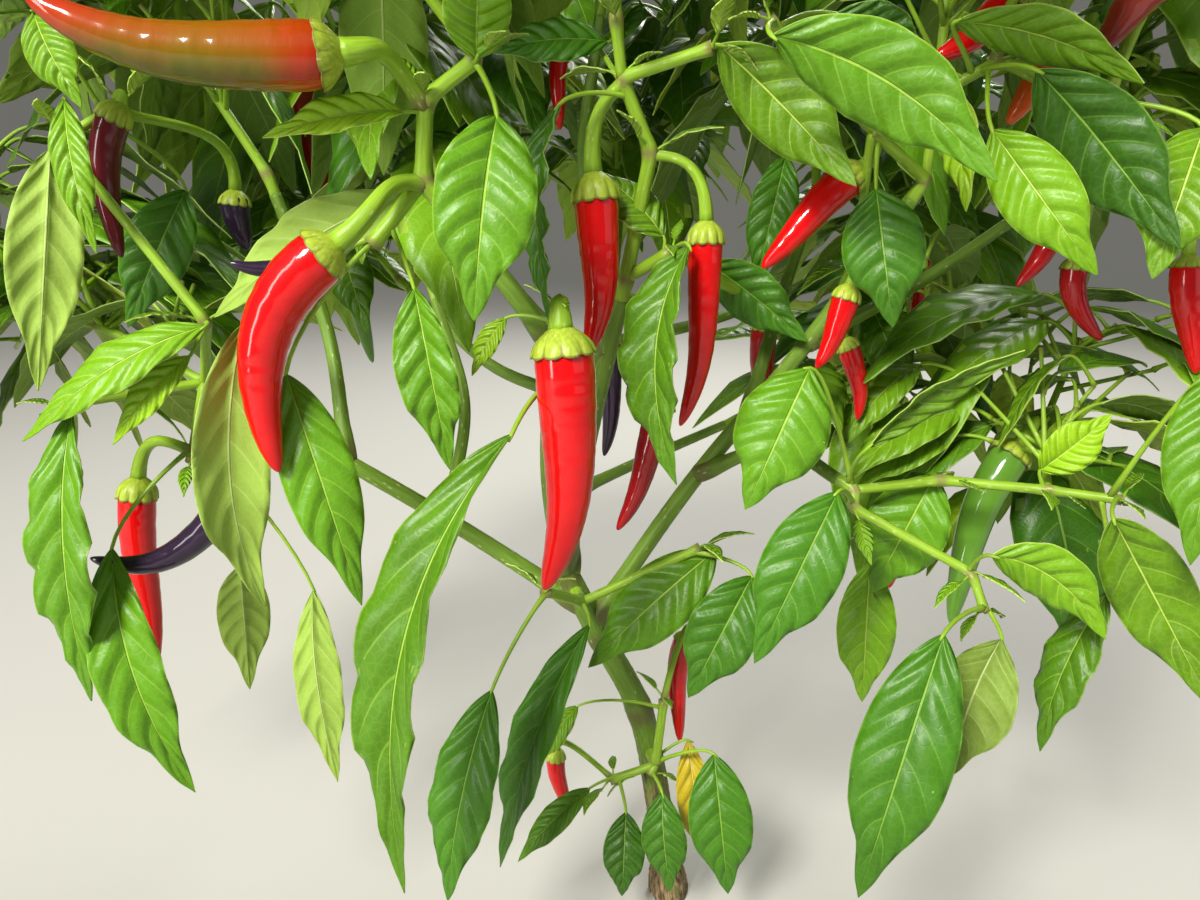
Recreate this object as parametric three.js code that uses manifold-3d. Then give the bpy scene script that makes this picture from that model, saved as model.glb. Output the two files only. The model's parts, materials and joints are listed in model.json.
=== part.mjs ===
// A chilli pepper plant, rooted in the ground, as faceted solids in millimetres.
// +Z is up and the origin is the middle of the flat cut under the main stem, at ground level.
// The stem forks low into tapering boughs. Each bough ends where a mass of foliage begins, and each mass is
// twigs that fork by a seeded rule, with leaves and fruits joined on. No two solids touch.

import * as THREE from 'three';
import { mergeVertices } from 'three/addons/utils/BufferGeometryUtils.js';
import Module from 'manifold-3d';

const wasm = await Module();
wasm.setup();

// Driving dimensions
const GAP = 0.35;               // clear distance left between neighbouring limbs
const MERGE = 0.002;            // corners this close are one corner
const CLEARANCE = 0.15;         // least distance between a leaf, twig or fruit and another solid
const SIDE_GAP = 0.8;           // clear distance between a limb's side and a stub that starts there
const SIDE_STUB_RADIUS = 2;
const FRUIT_SHARE = 0.35;       // of joints that carry a fruit
const STUB_LENGTH = 7;          // first straight piece of each mass's own stem
const STUB_THINS = 0.9;         // its far end's radius, as a share of its near end's
const TWIG_LENGTH = 54;         // first twig of a mass; later ones shorten
const TWIG_SHORTENS = 0.86;
const TWIG_RADIUS = 1.9;
const TWIG_THINS = 0.8;
const SHOWN_THINS = 0.9;        // from one shown twig to the next
const LEAST_TWIG = 1.2;         // radius of the thinnest shown twig
const FORK_ANGLE = 38;          // degrees that each twig of a fork leans from the twig before it
const RISE = 0.16;              // share of straight up mixed into each new twig
const ORDERS = 3;               // forks along a mass
const STALK_LENGTH = 22;        // of an ordinary leaf
const STALK_RADIUS = 0.85;
const BLADE_LENGTH = 80;
const BLADE_WIDTH = 0.4;        // share of the blade's length
const BLADE_THICKNESS = 0.018;  // share of the blade's length
const BLADE_ARCH = 0.1;         // share of the blade's length that its middle stands above its ends
const SHOWN_SECTIONS = [[0.18, 0.84], [0.42, 1], [0.74, 0.56]];   // shares of the blade's length and width
const FILL_SECTIONS = [[0.3, 1]];
const KEEL_LEAST = 1.3;         // depth of a blade's keel below its edges
const TRIES = 5;                // ways tried for one leaf
const TRY_TURN = 0.5;           // radians between them
const DROOP = [18, 68];         // degrees that a filling blade hangs below level
const ROOT_RADIUS = 0.5;        // of a leaf, fruit or side twig inside the twig it starts from
const SIDE_ROOT = 0.55;         // radius of a side twig inside its first joint, as a share of the joint's
const FOOT_STEP = 2.2;          // between the roots on one twig
const FOOT_SHARE = 0.7;         // of a twig's length that may hold roots
const LOWEST = 1;               // height above the ground that everything but the stem keeps
const FRUIT_LENGTH = 62;
const FRUIT_RADIUS = 6.5;
const FRUIT_BOW = 0.07;         // share of its length that a filling fruit's middle bends aside
const SHOWN_STATIONS = [[0.03, 0.85], [0.4, 1], [0.74, 0.66], [0.96, 0.28]];
const FILL_STATIONS = [[0.05, 0.95], [0.45, 1], [0.92, 0.4]];
const LARGE_FRUIT = 6;          // radius above which a shown fruit has five sides, not four
const PEDICEL_SHARE = 0.3;      // radius of a fruit's stalk at its top, as a share of the fruit's own
const STRAIGHT_DROP = 60;       // a stalk that starts so far above its fruit hangs down without an arch

// The picture that the shown leaves and fruits are read from: where its lens stands, how far it looks down,
// its middle and its focal length in pixels. A place in it is [across, down, depth]: two pixels and a depth
// in mm.
const LENS = new THREE.Vector3(-30, -330, 287);
const LOOKS_DOWN = THREE.MathUtils.degToRad(15);
const FOCAL = 900;
const MIDDLE = [600, 450];
const NEAREST_FILL = -28;       // leaves that only fill the crown stay behind this depth inside the picture

const UP = new THREE.Vector3(0, 0, 1);

// Colours as seen on the plant
const green = (colour, roughness = 0.55) =>
  new THREE.MeshStandardMaterial({ color: colour, roughness, metalness: 0 });
const stemGreen = green(0x6f8f2c, 0.6);
const woodyGreen = green(0x5a6330, 0.8);
const leafGreen = green(0x4c8a22, 0.45);

// A place in the picture as a point on the plant.
function seen([across, down, depth]) {
  const rise = (MIDDLE[1] - down) / FOCAL;
  const reach = (depth - LENS.y) / (Math.cos(LOOKS_DOWN) + Math.sin(LOOKS_DOWN) * rise);
  return new THREE.Vector3(
    LENS.x + (reach * (across - MIDDLE[0])) / FOCAL,
    depth,
    LENS.z + reach * (Math.cos(LOOKS_DOWN) * rise - Math.sin(LOOKS_DOWN)),
  );
}

// True where a point lies inside the picture's frame.
function inPicture(point) {
  const ray = point.clone().sub(LENS);
  const away = ray.y * Math.cos(LOOKS_DOWN) - ray.z * Math.sin(LOOKS_DOWN);
  const rise = ray.y * Math.sin(LOOKS_DOWN) + ray.z * Math.cos(LOOKS_DOWN);
  return Math.abs((ray.x / away) * FOCAL) < MIDDLE[0] && Math.abs((rise / away) * FOCAL) < MIDDLE[1];
}

// The same numbers in the same order for the same seed.
function seeded(seed) {
  let state = (seed * 2654435 + 12345) % 4294967296;
  const next = () => {
    state = (state * 1664525 + 1013904223) % 4294967296;
    return state / 4294967296;
  };
  next();
  next();
  return next;
}

// A closed solid through rings of points. Every ring has as many points as the others, or is a single
// point.
function loft(rings) {
  const flat = rings.flat();
  const triangles = [];
  let start = 0;
  for (let i = 0; i + 1 < rings.length; i++) {
    const [a, b] = [rings[i].length, rings[i + 1].length];
    const next = start + a;
    const count = Math.max(a, b);
    for (let k = 0; k < count; k++) {
      const j = (k + 1) % count;
      if (a > 1) triangles.push(start + k, start + j, next + (b > 1 ? j : 0));
      if (b > 1) triangles.push(start + (a > 1 ? k : 0), next + j, next + k);
    }
    start = next;
  }
  const last = rings.at(-1).length;
  for (let k = 1; k + 1 < rings[0].length; k++) triangles.push(0, k + 1, k);
  for (let k = 1; k + 1 < last; k++) triangles.push(start, start + k, start + k + 1);
  const vertProperties = new Float32Array(flat.flatMap((p) => [p.x, p.y, p.z]));
  const build = (order) =>
    new wasm.Manifold(new wasm.Mesh({ numProp: 3, vertProperties, triVerts: new Uint32Array(order) }));
  const made = build(triangles);
  return made.volume() > 0 ? made : build(triangles.toReversed());
}

const unit = (from, to) => to.clone().sub(from).normalize();

// A way turned by the least turn that takes one way into another.
const carried = (over, from, to) =>
  over.clone().applyQuaternion(new THREE.Quaternion().setFromUnitVectors(from, to));

// A regular ring round a centre, square to a way. Its first point lies over the centre.
function ring(centre, way, radius, sides, over) {
  const across = over.clone().cross(way);
  return Array.from({ length: sides }, (_, k) => {
    const angle = (2 * Math.PI * k) / sides;
    return centre.clone()
      .addScaledVector(across, radius * Math.sin(angle))
      .addScaledVector(over, radius * Math.cos(angle));
  });
}

// Rings through stations of a point, a way and a radius, none of them twisted against the ring before it.
function ringsAlong(stations, sides) {
  let before = stations[0].way.clone().normalize();
  const steep = Math.abs(before.z) > 0.9 ? new THREE.Vector3(0, 1, 0) : UP;
  let over = steep.clone().projectOnPlane(before).normalize();
  return stations.map(({ point, way, radius }) => {
    const along = way.clone().normalize();
    over = carried(over, before, along);
    before = along;
    return ring(point, along, radius, sides, over);
  });
}

// A limb along a smooth path, with a radius for each share of its length.
function limb(path, radiusAt, sides, steps, grow = 0) {
  const curve = new THREE.CatmullRomCurve3(path);
  const stations = Array.from({ length: steps + 1 }, (_, i) => {
    const share = i / steps;
    return { point: curve.getPoint(share), way: curve.getTangent(share), radius: radiusAt(share) + grow };
  });
  return loft(ringsAlong(stations, sides));
}

const mixed = (from, to, share) => from + (to - from) * share;

// The main stem: a flared foot, then a slow taper with a swollen joint at each bend.
const STEM = {
  path: [[0, 0, 0], [-5, 0, 42], [-14, 0, 88], [-30, -6, 124], [-44, -12, 156]],
  footRadius: 8.5, radius: 5.6, tipRadius: 4.4, flareHeight: 14,
  sides: 11, joints: [0.5, 0.75], jointSwell: 0.7, jointLength: 0.035,
};

// Boughs in the order they are cut free of each other: name, parent, share of the parent's length where it
// leaves, bends up to its tip, and the radius at its start and its tip.
const BOUGHS = [
  ['front_bough', 'main_stem', 1, [[-47, -34, 200], [-44, -52, 246]], [3.9, 3.2]],
  ['centre_bough', 'main_stem', 1, [[-34, -16, 208], [-23, -28, 258]], [3.5, 2.8]],
  ['back_bough', 'main_stem', 0.97, [[-42, 18, 196], [-28, 52, 240], [-22, 84, 282]], [3.7, 2.6]],
  ['left_bough', 'main_stem', 0.86, [[-84, -10, 172], [-126, -22, 204], [-158, -28, 226]], [3.3, 2.4]],
  ['right_bough', 'main_stem', 0.8, [[4, -4, 186], [44, -12, 242], [72, -24, 290]], [3.4, 2.5]],
  ['left_front_bough', 'front_bough', 1, [[-60, -58, 268], [-76, -62, 289]], [3.1, 2.8]],
  ['low_right_bough', 'right_bough', 0.36, [[34, -24, 206], [51, -36, 198]], [2.6, 2.2]],
  ['right_outer_bough', 'right_bough', 0.66, [[92, 12, 262], [126, 18, 284]], [2.6, 2.1]],
  ['left_high_bough', 'left_bough', 0.62, [[-130, 0, 244], [-146, 4, 292]], [2.6, 2.1]],
  ['back_left_bough', 'back_bough', 0.45, [[-76, 52, 222], [-116, 82, 252]], [2.7, 2.1]],
  ['back_right_bough', 'back_bough', 0.6, [[24, 76, 240], [72, 96, 256]], [2.7, 2.1]],
  ['inner_left_bough', 'left_bough', 0.36, [[-84, 22, 212], [-96, 34, 252]], [2.5, 2.0]],
  ['inner_right_bough', 'right_bough', 0.5, [[40, 18, 256], [54, 40, 286]], [2.5, 2.0]],
  ['low_back_bough', 'back_bough', 0.2, [[-10, 34, 186], [24, 52, 196]], [2.4, 1.9]],
  ['top_bough', 'centre_bough', 0.8, [[-36, 0, 300], [-30, 14, 352]], [2.5, 2.0]],
];

// Masses of foliage. Each grows from its bough's tip towards its heart and keeps inside the reach round
// that heart. Shown twigs, leaves and fruits are places in the picture. A leaf is [name, blade's start,
// tip, width in mm, turn in degrees away from the lens, sway]. A fruit is [name, shoulder, tip, radius in
// mm, bow], and the number of its joint where it doesn't hang on the nearest. A twig is its end and the
// number of the joint it starts from, counted from the stub's end, whose radius is thick. Grows lists the
// joints where the crown's own twigs start, and each seed gives its mass another run of the same rule.
const MASSES = [
  {
    name: 'front_spray', on: 'front_bough', at: 0.93, lead: [0.1, -1, 0.2],
    heart: [-44, -70, 250], reach: [30, 30, 40],
    twigs: [[[562, 314, -64], 0]],
    leaves: [
      ['long_front_leaf', [512, 434, -92], [405, 895, -114], 28, 24, 0.08],
      ['small_curled_leaf', [506, 318, -60], [472, 376, -62], 8, 30],
    ],
    fruits: [['front_fruit', [562, 340, -77], [544, 590, -82], 8.8, -0.065]],
  },
  {
    name: 'left_front_spray', on: 'left_front_bough',
    heart: [-100, -34, 372], reach: [76, 76, 84], seed: 398, grows: [3],
    thick: 2.5,
    twigs: [[[425, 100, -66], 0], [[372, 246, -68], 0], [[478, 58, -73], 1]],
    leaves: [
      ['heart_leaf', [497, 116, -84], [474, 322, -94], 28, 10],
      ['cover_leaf', [404, 197, -56], [214, 318, -50], 22, 30],
      ['slender_leaf', [404, 112, -70], [262, 138, -80], 12, 30],
      ['pale_left_leaf', [244, 324, -76], [266, 607, -80], 22, 0, 0.08],
      ['shaded_left_leaf', [286, 374, -72], [362, 606, -80], 21, 0],
      ['inner_left_leaf', [414, 288, -70], [450, 470, -74], 20, 0],
      ['rising_leaf', [476, 60, -76], [482, -50, -92], 18, 10],
    ],
    fruits: [
      ['left_fruit', [328, 250, -82], [279, 472, -88], 8, 0.18, 0],
      ['turning_fruit', [328, 54, -88], [24, -6, -104], 8.6, -0.09],
      ['small_dark_fruit', [300, 268, -60], [229, 262, -66], 3, -0.06],
    ],
  },
  {
    name: 'centre_front_spray', on: 'centre_bough',
    heart: [-26, -22, 400], reach: [66, 72, 88], seed: 346, grows: [5],
    thick: 2.4,
    twigs: [
      [[651, 152, -42], 0], [[672, 252, -40], 0], [[622, 78, -48], 1], [[712, 48, -58], 3],
      [[616, 20, -52], 3], [[640, 302, -12], 2], [[748, 298, -6], 2],
    ],
    leaves: [
      ['edge_on_leaf', [560, 104, -58], [551, 326, -66], 16, 55],
      ['hanging_leaf', [689, 246, -54], [677, 486, -70], 24, 24, 0.08],
      ['top_middle_leaf', [718, 45, -58], [857, 187, -66], 23, 10],
      ['arching_leaf', [664, 238, -38], [598, 172, -30], 15, 30],
      ['dark_left_leaf', [608, 42, -32], [486, 52, -36], 14, 30],
      ['dark_right_leaf', [786, 155, -4], [754, 292, -8], 17, 0],
      ['shade_leaf', [706, 262, -16], [808, 342, -20], 20, 10],
    ],
    fruits: [
      ['second_fruit', [594, 182, -44], [586, 356, -48], 6.9, -0.06, 3],
      ['third_fruit', [706, 228, -44], [680, 426, -46], 5.4, -0.05, 1],
      ['far_red_fruit', [560, 56, 4], [560, 130, 4], 3.2, 0.03],
      ['behind_dark_fruit', [611, 338, 4], [604, 456, 2], 4.6, -0.03],
      ['behind_long_fruit', [662, 402, -8], [617, 530, -12], 5.4, -0.04],
      ['behind_leaf_fruit', [766, 322, 26], [763, 430, 26], 5.3, 0.02],
    ],
  },
  {
    name: 'right_top_spray', on: 'right_bough',
    heart: [78, -26, 376], reach: [84, 84, 78], seed: 378, grows: [0, 2],
    twigs: [
      [[872, 130, -44], 0], [[1000, 60, -56], 1], [[770, 20, -66], 1], [[1120, 120, -50], 2],
      [[856, 258, -14], 1],
    ],
    leaves: [
      ['broad_top_leaf', [772, 36, -84], [998, 183, -98], 25, 15, -0.06],
      ['bright_leaf', [992, 130, -72], [1098, 276, -86], 20, 0],
      ['deep_green_leaf', [1036, 70, -70], [1182, 250, -84], 26, 10],
      ['top_edge_leaf', [955, 22, -68], [1145, 84, -80], 18, 40],
      ['lit_half_leaf', [876, 188, -40], [893, 328, -46], 25, 0],
      ['young_pair_leaf', [932, 72, -56], [966, 212, -64], 14, 30],
      ['round_top_leaf', [836, 14, -48], [934, 62, -52], 18, 10],
      ['right_edge_leaf', [1204, 128, -70], [1152, 280, -78], 24, 0],
    ],
    fruits: [
      ['slanting_fruit', [856, 172, -30], [762, 268, -36], 6, 0.02],
      ['dark_red_fruit', [1076, 182, -22], [1016, 286, -26], 4.8, -0.06],
      ['hooked_fruit', [1076, 262, -16], [1102, 340, -18], 4.4, 0.14],
      ['violet_top_fruit', [1164, -24, -52], [1100, 52, -60], 6.2, 0.05],
      ['orange_fruit', [1064, 54, -12], [1008, 124, -14], 5.6, 0.04],
      ['top_red_fruit', [1014, -6, -40], [934, 56, -44], 5.4, -0.08],
      ['right_edge_fruit', [1188, 262, -40], [1196, 374, -44], 5, 0.03],
      ['pair_left_fruit', [849, 290, -32], [816, 368, -34], 4.6, -0.04],
      ['pair_right_fruit', [846, 342, -10], [857, 420, -12], 4, -0.08],
    ],
  },
  {
    name: 'right_low_spray', on: 'low_right_bough',
    heart: [128, -20, 206], reach: [92, 84, 78], seed: 192, grows: [0, 5],
    twigs: [
      [[852, 507, -42], 0], [[972, 573, -60], 1], [[985, 612, -66], 2], [[940, 480, -40], 0],
      [[1048, 490, -52], 4], [[1122, 500, -62], 5],
    ],
    leaves: [
      ['middle_leaf', [810, 368, -46], [745, 510, -54], 30, 0],
      ['lower_middle_leaf', [838, 492, -56], [754, 664, -66], 26, 0],
      ['big_front_leaf', [944, 634, -84], [858, 898, -98], 29, 0],
      ['pale_back_leaf', [1002, 640, -70], [948, 778, -76], 27, 20],
      ['drooping_leaf', [992, 556, -74], [1106, 640, -82], 19, 25, -0.1],
      ['pointing_leaf', [868, 448, -60], [1026, 350, -74], 14, 50],
      ['broad_shade_leaf', [935, 475, -34], [872, 592, -30], 28, 0],
      ['right_hanging_leaf', [1113, 518, -78], [1215, 712, -90], 24, 0],
      ['near_edge_leaf', [1222, 366, -84], [1190, 566, -96], 22, 0],
      ['small_upper_leaf', [1040, 470, -52], [1112, 414, -58], 16, 10],
      ['far_hanging_leaf', [1108, 592, -60], [1040, 752, -66], 18, 30],
      ['inner_pale_leaf', [870, 562, -18], [862, 702, -20], 22, 0],
    ],
    fruits: [['hidden_fruit', [896, 540, 6], [888, 588, 6], 4, 0]],
  },
  {
    name: 'left_spray', on: 'left_bough',
    heart: [-196, -18, 244], reach: [92, 84, 92], seed: 45, grows: [0],
    twigs: [
      [[192, 462, -48], 0], [[66, 404, -50], 0], [[206, 322, -50], 0], [[60, 140, -46], 3],
      [[120, 104, -38], 4],
    ],
    leaves: [
      ['left_edge_leaf', [72, 412, -66], [92, 702, -78], 22, 30],
      ['front_left_leaf', [112, 548, -64], [196, 793, -74], 22, 10, 0.05],
      ['narrow_hanging_leaf', [314, 590, -46], [338, 782, -52], 17, 20],
      ['blurred_leaf', [240, 566, -20], [250, 690, -20], 20, 0],
      ['long_left_leaf', [206, 326, -60], [22, 442, -72], 17, 40],
      ['lime_leaf', [190, 356, -60], [113, 445, -66], 11, 30],
      ['veined_left_leaf', [50, 150, -52], [38, 392, -62], 20, 0],
      ['thin_left_leaf', [64, 98, -54], [97, 255, -62], 11, 20],
      ['corner_leaf', [34, 12, -54], [82, 108, -60], 14, 20],
      ['back_left_leaf', [186, 190, -20], [128, 328, -28], 22, 10],
    ],
    fruits: [
      ['maroon_fruit', [118, 108, -40], [122, 258, -44], 5, 0.1],
      ['curved_violet_fruit', [222, 508, -58], [90, 558, -66], 5, -0.2],
      ['behind_red_fruit', [138, 484, -34], [156, 666, -38], 6.2, 0.02],
      ['brown_red_fruit', [68, 466, -20], [65, 612, -20], 4.8, 0.02],
      ['far_violet_fruit', [235, 196, 8], [248, 250, 8], 5.4, 0.05],
    ],
  },
  {
    name: 'middle_spray', on: 'main_stem', at: 0.93, lead: [0.2, -1, 0.1],
    heart: [-40, -40, 150], reach: [60, 40, 40],
    twigs: [[[545, 592, -44], 0], [[700, 548, -24], 0]],
    leaves: [
      ['second_front_leaf', [492, 690, -62], [448, 902, -76], 23, 20],
      ['cross_leaf', [716, 550, -22], [588, 668, -28], 26, 10],
      ['bending_leaf', [590, 624, -34], [500, 868, -44], 20, 25],
      ['lower_right_leaf', [752, 576, -34], [688, 698, -40], 26, 0],
    ],
    fruits: [],
  },
  {
    name: 'foot_shoots', on: 'main_stem', at: 0.4, lead: [0.1, -1, 0.3],
    heart: [-5, -20, 60], reach: [50, 30, 40],
    twigs: [[[664, 700, -10], 0], [[650, 775, -14], 0], [[610, 780, -14], 0]],
    leaves: [
      ['foot_right_leaf', [714, 754, -22], [728, 894, -32], 25, 0],
      ['foot_left_leaf', [626, 812, -18], [622, 896, -24], 17, 0],
      ['foot_middle_leaf', [662, 792, -24], [670, 892, -30], 18, 10],
      ['yellow_leaf', [688, 740, -8], [702, 858, -12], 15, 0],
      ['foot_side_leaf', [590, 788, -18], [518, 862, -26], 12, 20],
      ['foot_small_leaf', [578, 706, -12], [536, 764, -16], 11, 20],
    ],
    fruits: [
      ['low_right_fruit', [686, 636, 2], [680, 742, 0], 4.6, 0.05],
      ['low_left_fruit', [556, 752, -2], [570, 814, -2], 4, 0.05],
    ],
  },
  {
    name: 'left_high_spray', on: 'left_high_bough',
    heart: [-184, 2, 360], reach: [84, 84, 84], seed: 125, grows: [0],
  },
  {
    name: 'right_outer_spray', on: 'right_outer_bough',
    heart: [172, 30, 330], reach: [84, 84, 84], seed: 381, grows: [0],
  },
  {
    name: 'back_left_spray', on: 'back_left_bough',
    heart: [-156, 112, 290], reach: [92, 84, 92], seed: 207, grows: [0],
  },
  {
    name: 'back_spray', on: 'back_bough',
    heart: [-24, 136, 330], reach: [84, 84, 92], seed: 213, grows: [0],
  },
  {
    name: 'back_right_spray', on: 'back_right_bough',
    heart: [118, 124, 280], reach: [92, 84, 92], seed: 341, grows: [0],
  },
  {
    name: 'inner_left_spray', on: 'inner_left_bough',
    heart: [-100, 48, 320], reach: [84, 84, 84], seed: 89, grows: [0],
  },
  {
    name: 'inner_right_spray', on: 'inner_right_bough',
    heart: [56, 60, 350], reach: [84, 84, 84], seed: 188, grows: [0],
  },
  {
    name: 'low_back_spray', on: 'low_back_bough',
    heart: [72, 62, 210], reach: [76, 70, 76], seed: 281, grows: [0],
  },
  {
    name: 'top_spray', on: 'top_bough',
    heart: [-30, 40, 430], reach: [88, 88, 84], seed: 360, grows: [0],
  },
];

const vector = (xyz) => new THREE.Vector3(...xyz);
const limbs = new Map();        // name to its curve, its solid, the room it needs and its radius along it
const group = new THREE.Group();

// The largest piece of a solid, with any sealed hollow or loose scrap left out.
function mainPiece(solid) {
  return solid.decompose().reduce((best, piece) => (piece.volume() > best.volume() ? piece : best));
}

// The geometry of a solid's largest piece, with corners closer than a few microns joined into one.
function geometryOf(solid, passes = 2) {
  const { vertProperties, triVerts } = mainPiece(solid).getMesh();
  const loose = new THREE.BufferGeometry();
  loose.setAttribute('position', new THREE.BufferAttribute(vertProperties, 3));
  loose.setIndex(new THREE.BufferAttribute(triVerts, 1));
  const geometry = mergeVertices(loose, MERGE);
  const corners = geometry.getAttribute('position').array;
  const order = new Uint32Array(geometry.getIndex().array);
  const joined = new wasm.Manifold(new wasm.Mesh({ numProp: 3, vertProperties: corners, triVerts: order }));
  return passes > 1 ? geometryOf(joined, passes - 1) : geometry;
}

function addMesh(name, solid, material) {
  const geometry = geometryOf(solid);
  geometry.computeVertexNormals();
  const mesh = new THREE.Mesh(geometry, material);
  mesh.name = name;
  group.add(mesh);
}

// The stem's radius at a share of its length: taper, flare at the foot and a swelling at each joint.
function stemRadius(share) {
  const height = STEM.path.at(-1)[2] * share;
  const flare = (STEM.footRadius - STEM.radius) * Math.exp(-((height / STEM.flareHeight) ** 2));
  const swell = STEM.joints.reduce(
    (sum, joint) => sum + STEM.jointSwell * Math.exp(-(((share - joint) / STEM.jointLength) ** 2)), 0);
  return mixed(STEM.radius, STEM.tipRadius, share) + flare + swell;
}

function buildStem() {
  const path = STEM.path.map(vector);
  const curve = new THREE.CatmullRomCurve3(path);
  const shares = [0, 0.06, 0.14, 0.28, 0.44, 0.5, 0.56, 0.69, 0.75, 0.81, 0.92, 1];
  const grown = (grow) => loft(ringsAlong(shares.map((share) => ({
    point: curve.getPoint(share),
    way: share === 0 ? UP : curve.getTangent(share),
    radius: stemRadius(share) + grow,
  })), STEM.sides));
  const solid = grown(0);
  limbs.set('main_stem', { curve, solid, clearance: grown(GAP), radiusAt: stemRadius });
  addMesh('main_stem', solid, woodyGreen);
}

// A bough starts inside its parent and is then cut clear of every limb before it.
function buildBough([name, parent, at, bends, radii]) {
  const start = limbs.get(parent).curve.getPoint(at);
  const path = [start, ...bends.map(vector)];
  const radiusAt = (share) => mixed(radii[0], radii[1], share);
  const steps = 2 * bends.length + 1;
  let solid = limb(path, radiusAt, 7, steps);
  for (const other of limbs.values()) solid = solid.subtract(other.clearance);
  solid = mainPiece(solid);
  const curve = new THREE.CatmullRomCurve3(path);
  limbs.set(name, { curve, solid, clearance: limb(path, radiusAt, 7, steps, GAP), radiusAt });
  addMesh(name, solid, stemGreen);
}

// A leaf: a stalk from its foot to the blade's start, then a thin arched blade to the tip. It is
// three-sided all along, with the keel below. Sway bends the blade's middle aside. The free part of a leaf,
// twig or fruit is what must also keep clear of its own mass.
function leafSolids({ foot, start, tip, width, side, sections, sway = 0 }) {
  const length = start.distanceTo(tip);
  const way = unit(start, tip);
  const edge = side.clone();
  const over = edge.clone().cross(way);
  if (over.z < 0) {
    over.negate();
    edge.negate();
  }
  const keel = Math.max(BLADE_THICKNESS * length, KEEL_LEAST);
  const section = ([share, size]) => {
    const bend = 4 * length * share * (1 - share);
    const centre = start.clone()
      .addScaledVector(way, length * share)
      .addScaledVector(over, BLADE_ARCH * bend)
      .addScaledVector(side, sway * bend);
    return [
      centre.clone().addScaledVector(over, -keel),
      centre.clone().addScaledVector(edge, (width / 2) * size),
      centre.clone().addScaledVector(edge, -(width / 2) * size),
    ];
  };
  const stalk = unit(foot, start);
  const turn = stalk.clone().add(way).normalize();
  const under = carried(over.clone().negate(), way, turn);
  const bladeRings = [ring(start, turn, STALK_RADIUS, 3, under), ...sections.map(section), [tip]];
  const root = ring(foot, stalk, ROOT_RADIUS, 3, carried(under, turn, stalk));
  return { whole: loft([root, ...bladeRings]), free: loft(bladeRings) };
}

// A fruit with its stalk: the stalk arches over from its foot to the shoulder, the less so the higher its
// foot is above it. The fruit tapers to a blunt tip, its middle bent aside by the bend's share of its
// length.
function fruitSolids({ foot, start, tip, radius, bend = FRUIT_BOW, sides, stations }) {
  const body = tip.clone().sub(start);
  const length = body.length();
  const top = foot.clone().lerp(start, 0.55);
  const arched = Math.max(foot.z, start.z) + Math.max(3, 0.12 * length);
  top.z = mixed(arched, top.z, THREE.MathUtils.clamp((foot.z - start.z) / STRAIGHT_DROP, 0, 1));
  const bow = new THREE.Vector3(body.z, 0, -body.x).normalize().multiplyScalar(bend * length);
  const rings = ringsAlong([
    { point: foot, way: top.clone().sub(foot), radius: ROOT_RADIUS },
    { point: top, way: start.clone().sub(foot), radius: PEDICEL_SHARE * radius },
    ...stations.map(([share, size]) => ({
      point: start.clone().addScaledVector(body, share).addScaledVector(bow, 4 * share * (1 - share)),
      way: body,
      radius: radius * size,
    })),
  ], sides);
  return { whole: loft([...rings, [tip]]), free: loft([...rings.slice(1), [tip]]) };
}

// Everything placed so far, so that a new leaf, twig or fruit can be kept clear of it.
const placed = [];

function touches(solid, wanted) {
  const box = solid.boundingBox();
  const near = (other) => [0, 1, 2].every((i) =>
    box.min[i] - CLEARANCE < other.box.max[i] && box.max[i] + CLEARANCE > other.box.min[i]);
  return placed.some((other) =>
    wanted(other.owner) && near(other) && solid.minGap(other.solid, 2 * CLEARANCE) < CLEARANCE);
}

function tryPlace({ whole, free }, mass, shown = false) {
  if (whole.boundingBox().min[2] < LOWEST) return false;
  if (touches(whole, (owner) => owner !== mass.name)) return false;
  if (!shown && touches(free, (owner) => owner === mass.name)) return false;
  placed.push({ owner: mass.name, solid: whole, box: whole.boundingBox() });
  return true;
}

const distance = (a, b) => a.distanceTo(b);

// True inside the ellipsoid that a mass keeps to, and nearer its heart than any other heart.
function inSpace(mass, point) {
  const from = point.clone().sub(mass.centre);
  const [x, y, z] = mass.reach;
  if ((from.x / x) ** 2 + (from.y / y) ** 2 + (from.z / z) ** 2 > 1) return false;
  const own = distance(point, mass.centre);
  return MASSES.every((other) => other === mass || !other.grows || distance(point, other.centre) > own);
}

const hiddenByPicture = (point) => inPicture(point) && point.y < NEAREST_FILL;

// The joint of a mass nearest to a point.
function nearestJoint(mass, point) {
  return mass.joints.reduce((best, joint) =>
    (distance(joint.point, point) < distance(best.point, point) ? joint : best));
}

// Where the next leaf or fruit of a joint is rooted: each a little further back inside the twig ending
// there.
function nextFoot(joint) {
  joint.hung = (joint.hung ?? 0) + 1;
  const back = Math.min(FOOT_STEP * (joint.hung - 0.4), FOOT_SHARE * joint.length);
  return joint.point.clone().addScaledVector(joint.way, -back);
}

// A straight twig from one joint to a new one. It is tested a little thicker than it is built.
function tryTwig(mass, from, point, radius, shown = false) {
  const way = unit(from.point, point);
  const tested = (share) => loft(ringsAlong([
    { point: from.point.clone().lerp(point, share), way, radius: from.radius + GAP },
    { point, way, radius: radius + GAP },
  ], 3));
  if (!tryPlace({ whole: tested(0), free: tested(0.4) }, mass, shown)) return null;
  const joint = { point, radius, way, length: from.point.distanceTo(point), next: [] };
  from.next.push(joint);
  mass.joints.push(joint);
  return joint;
}

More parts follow.
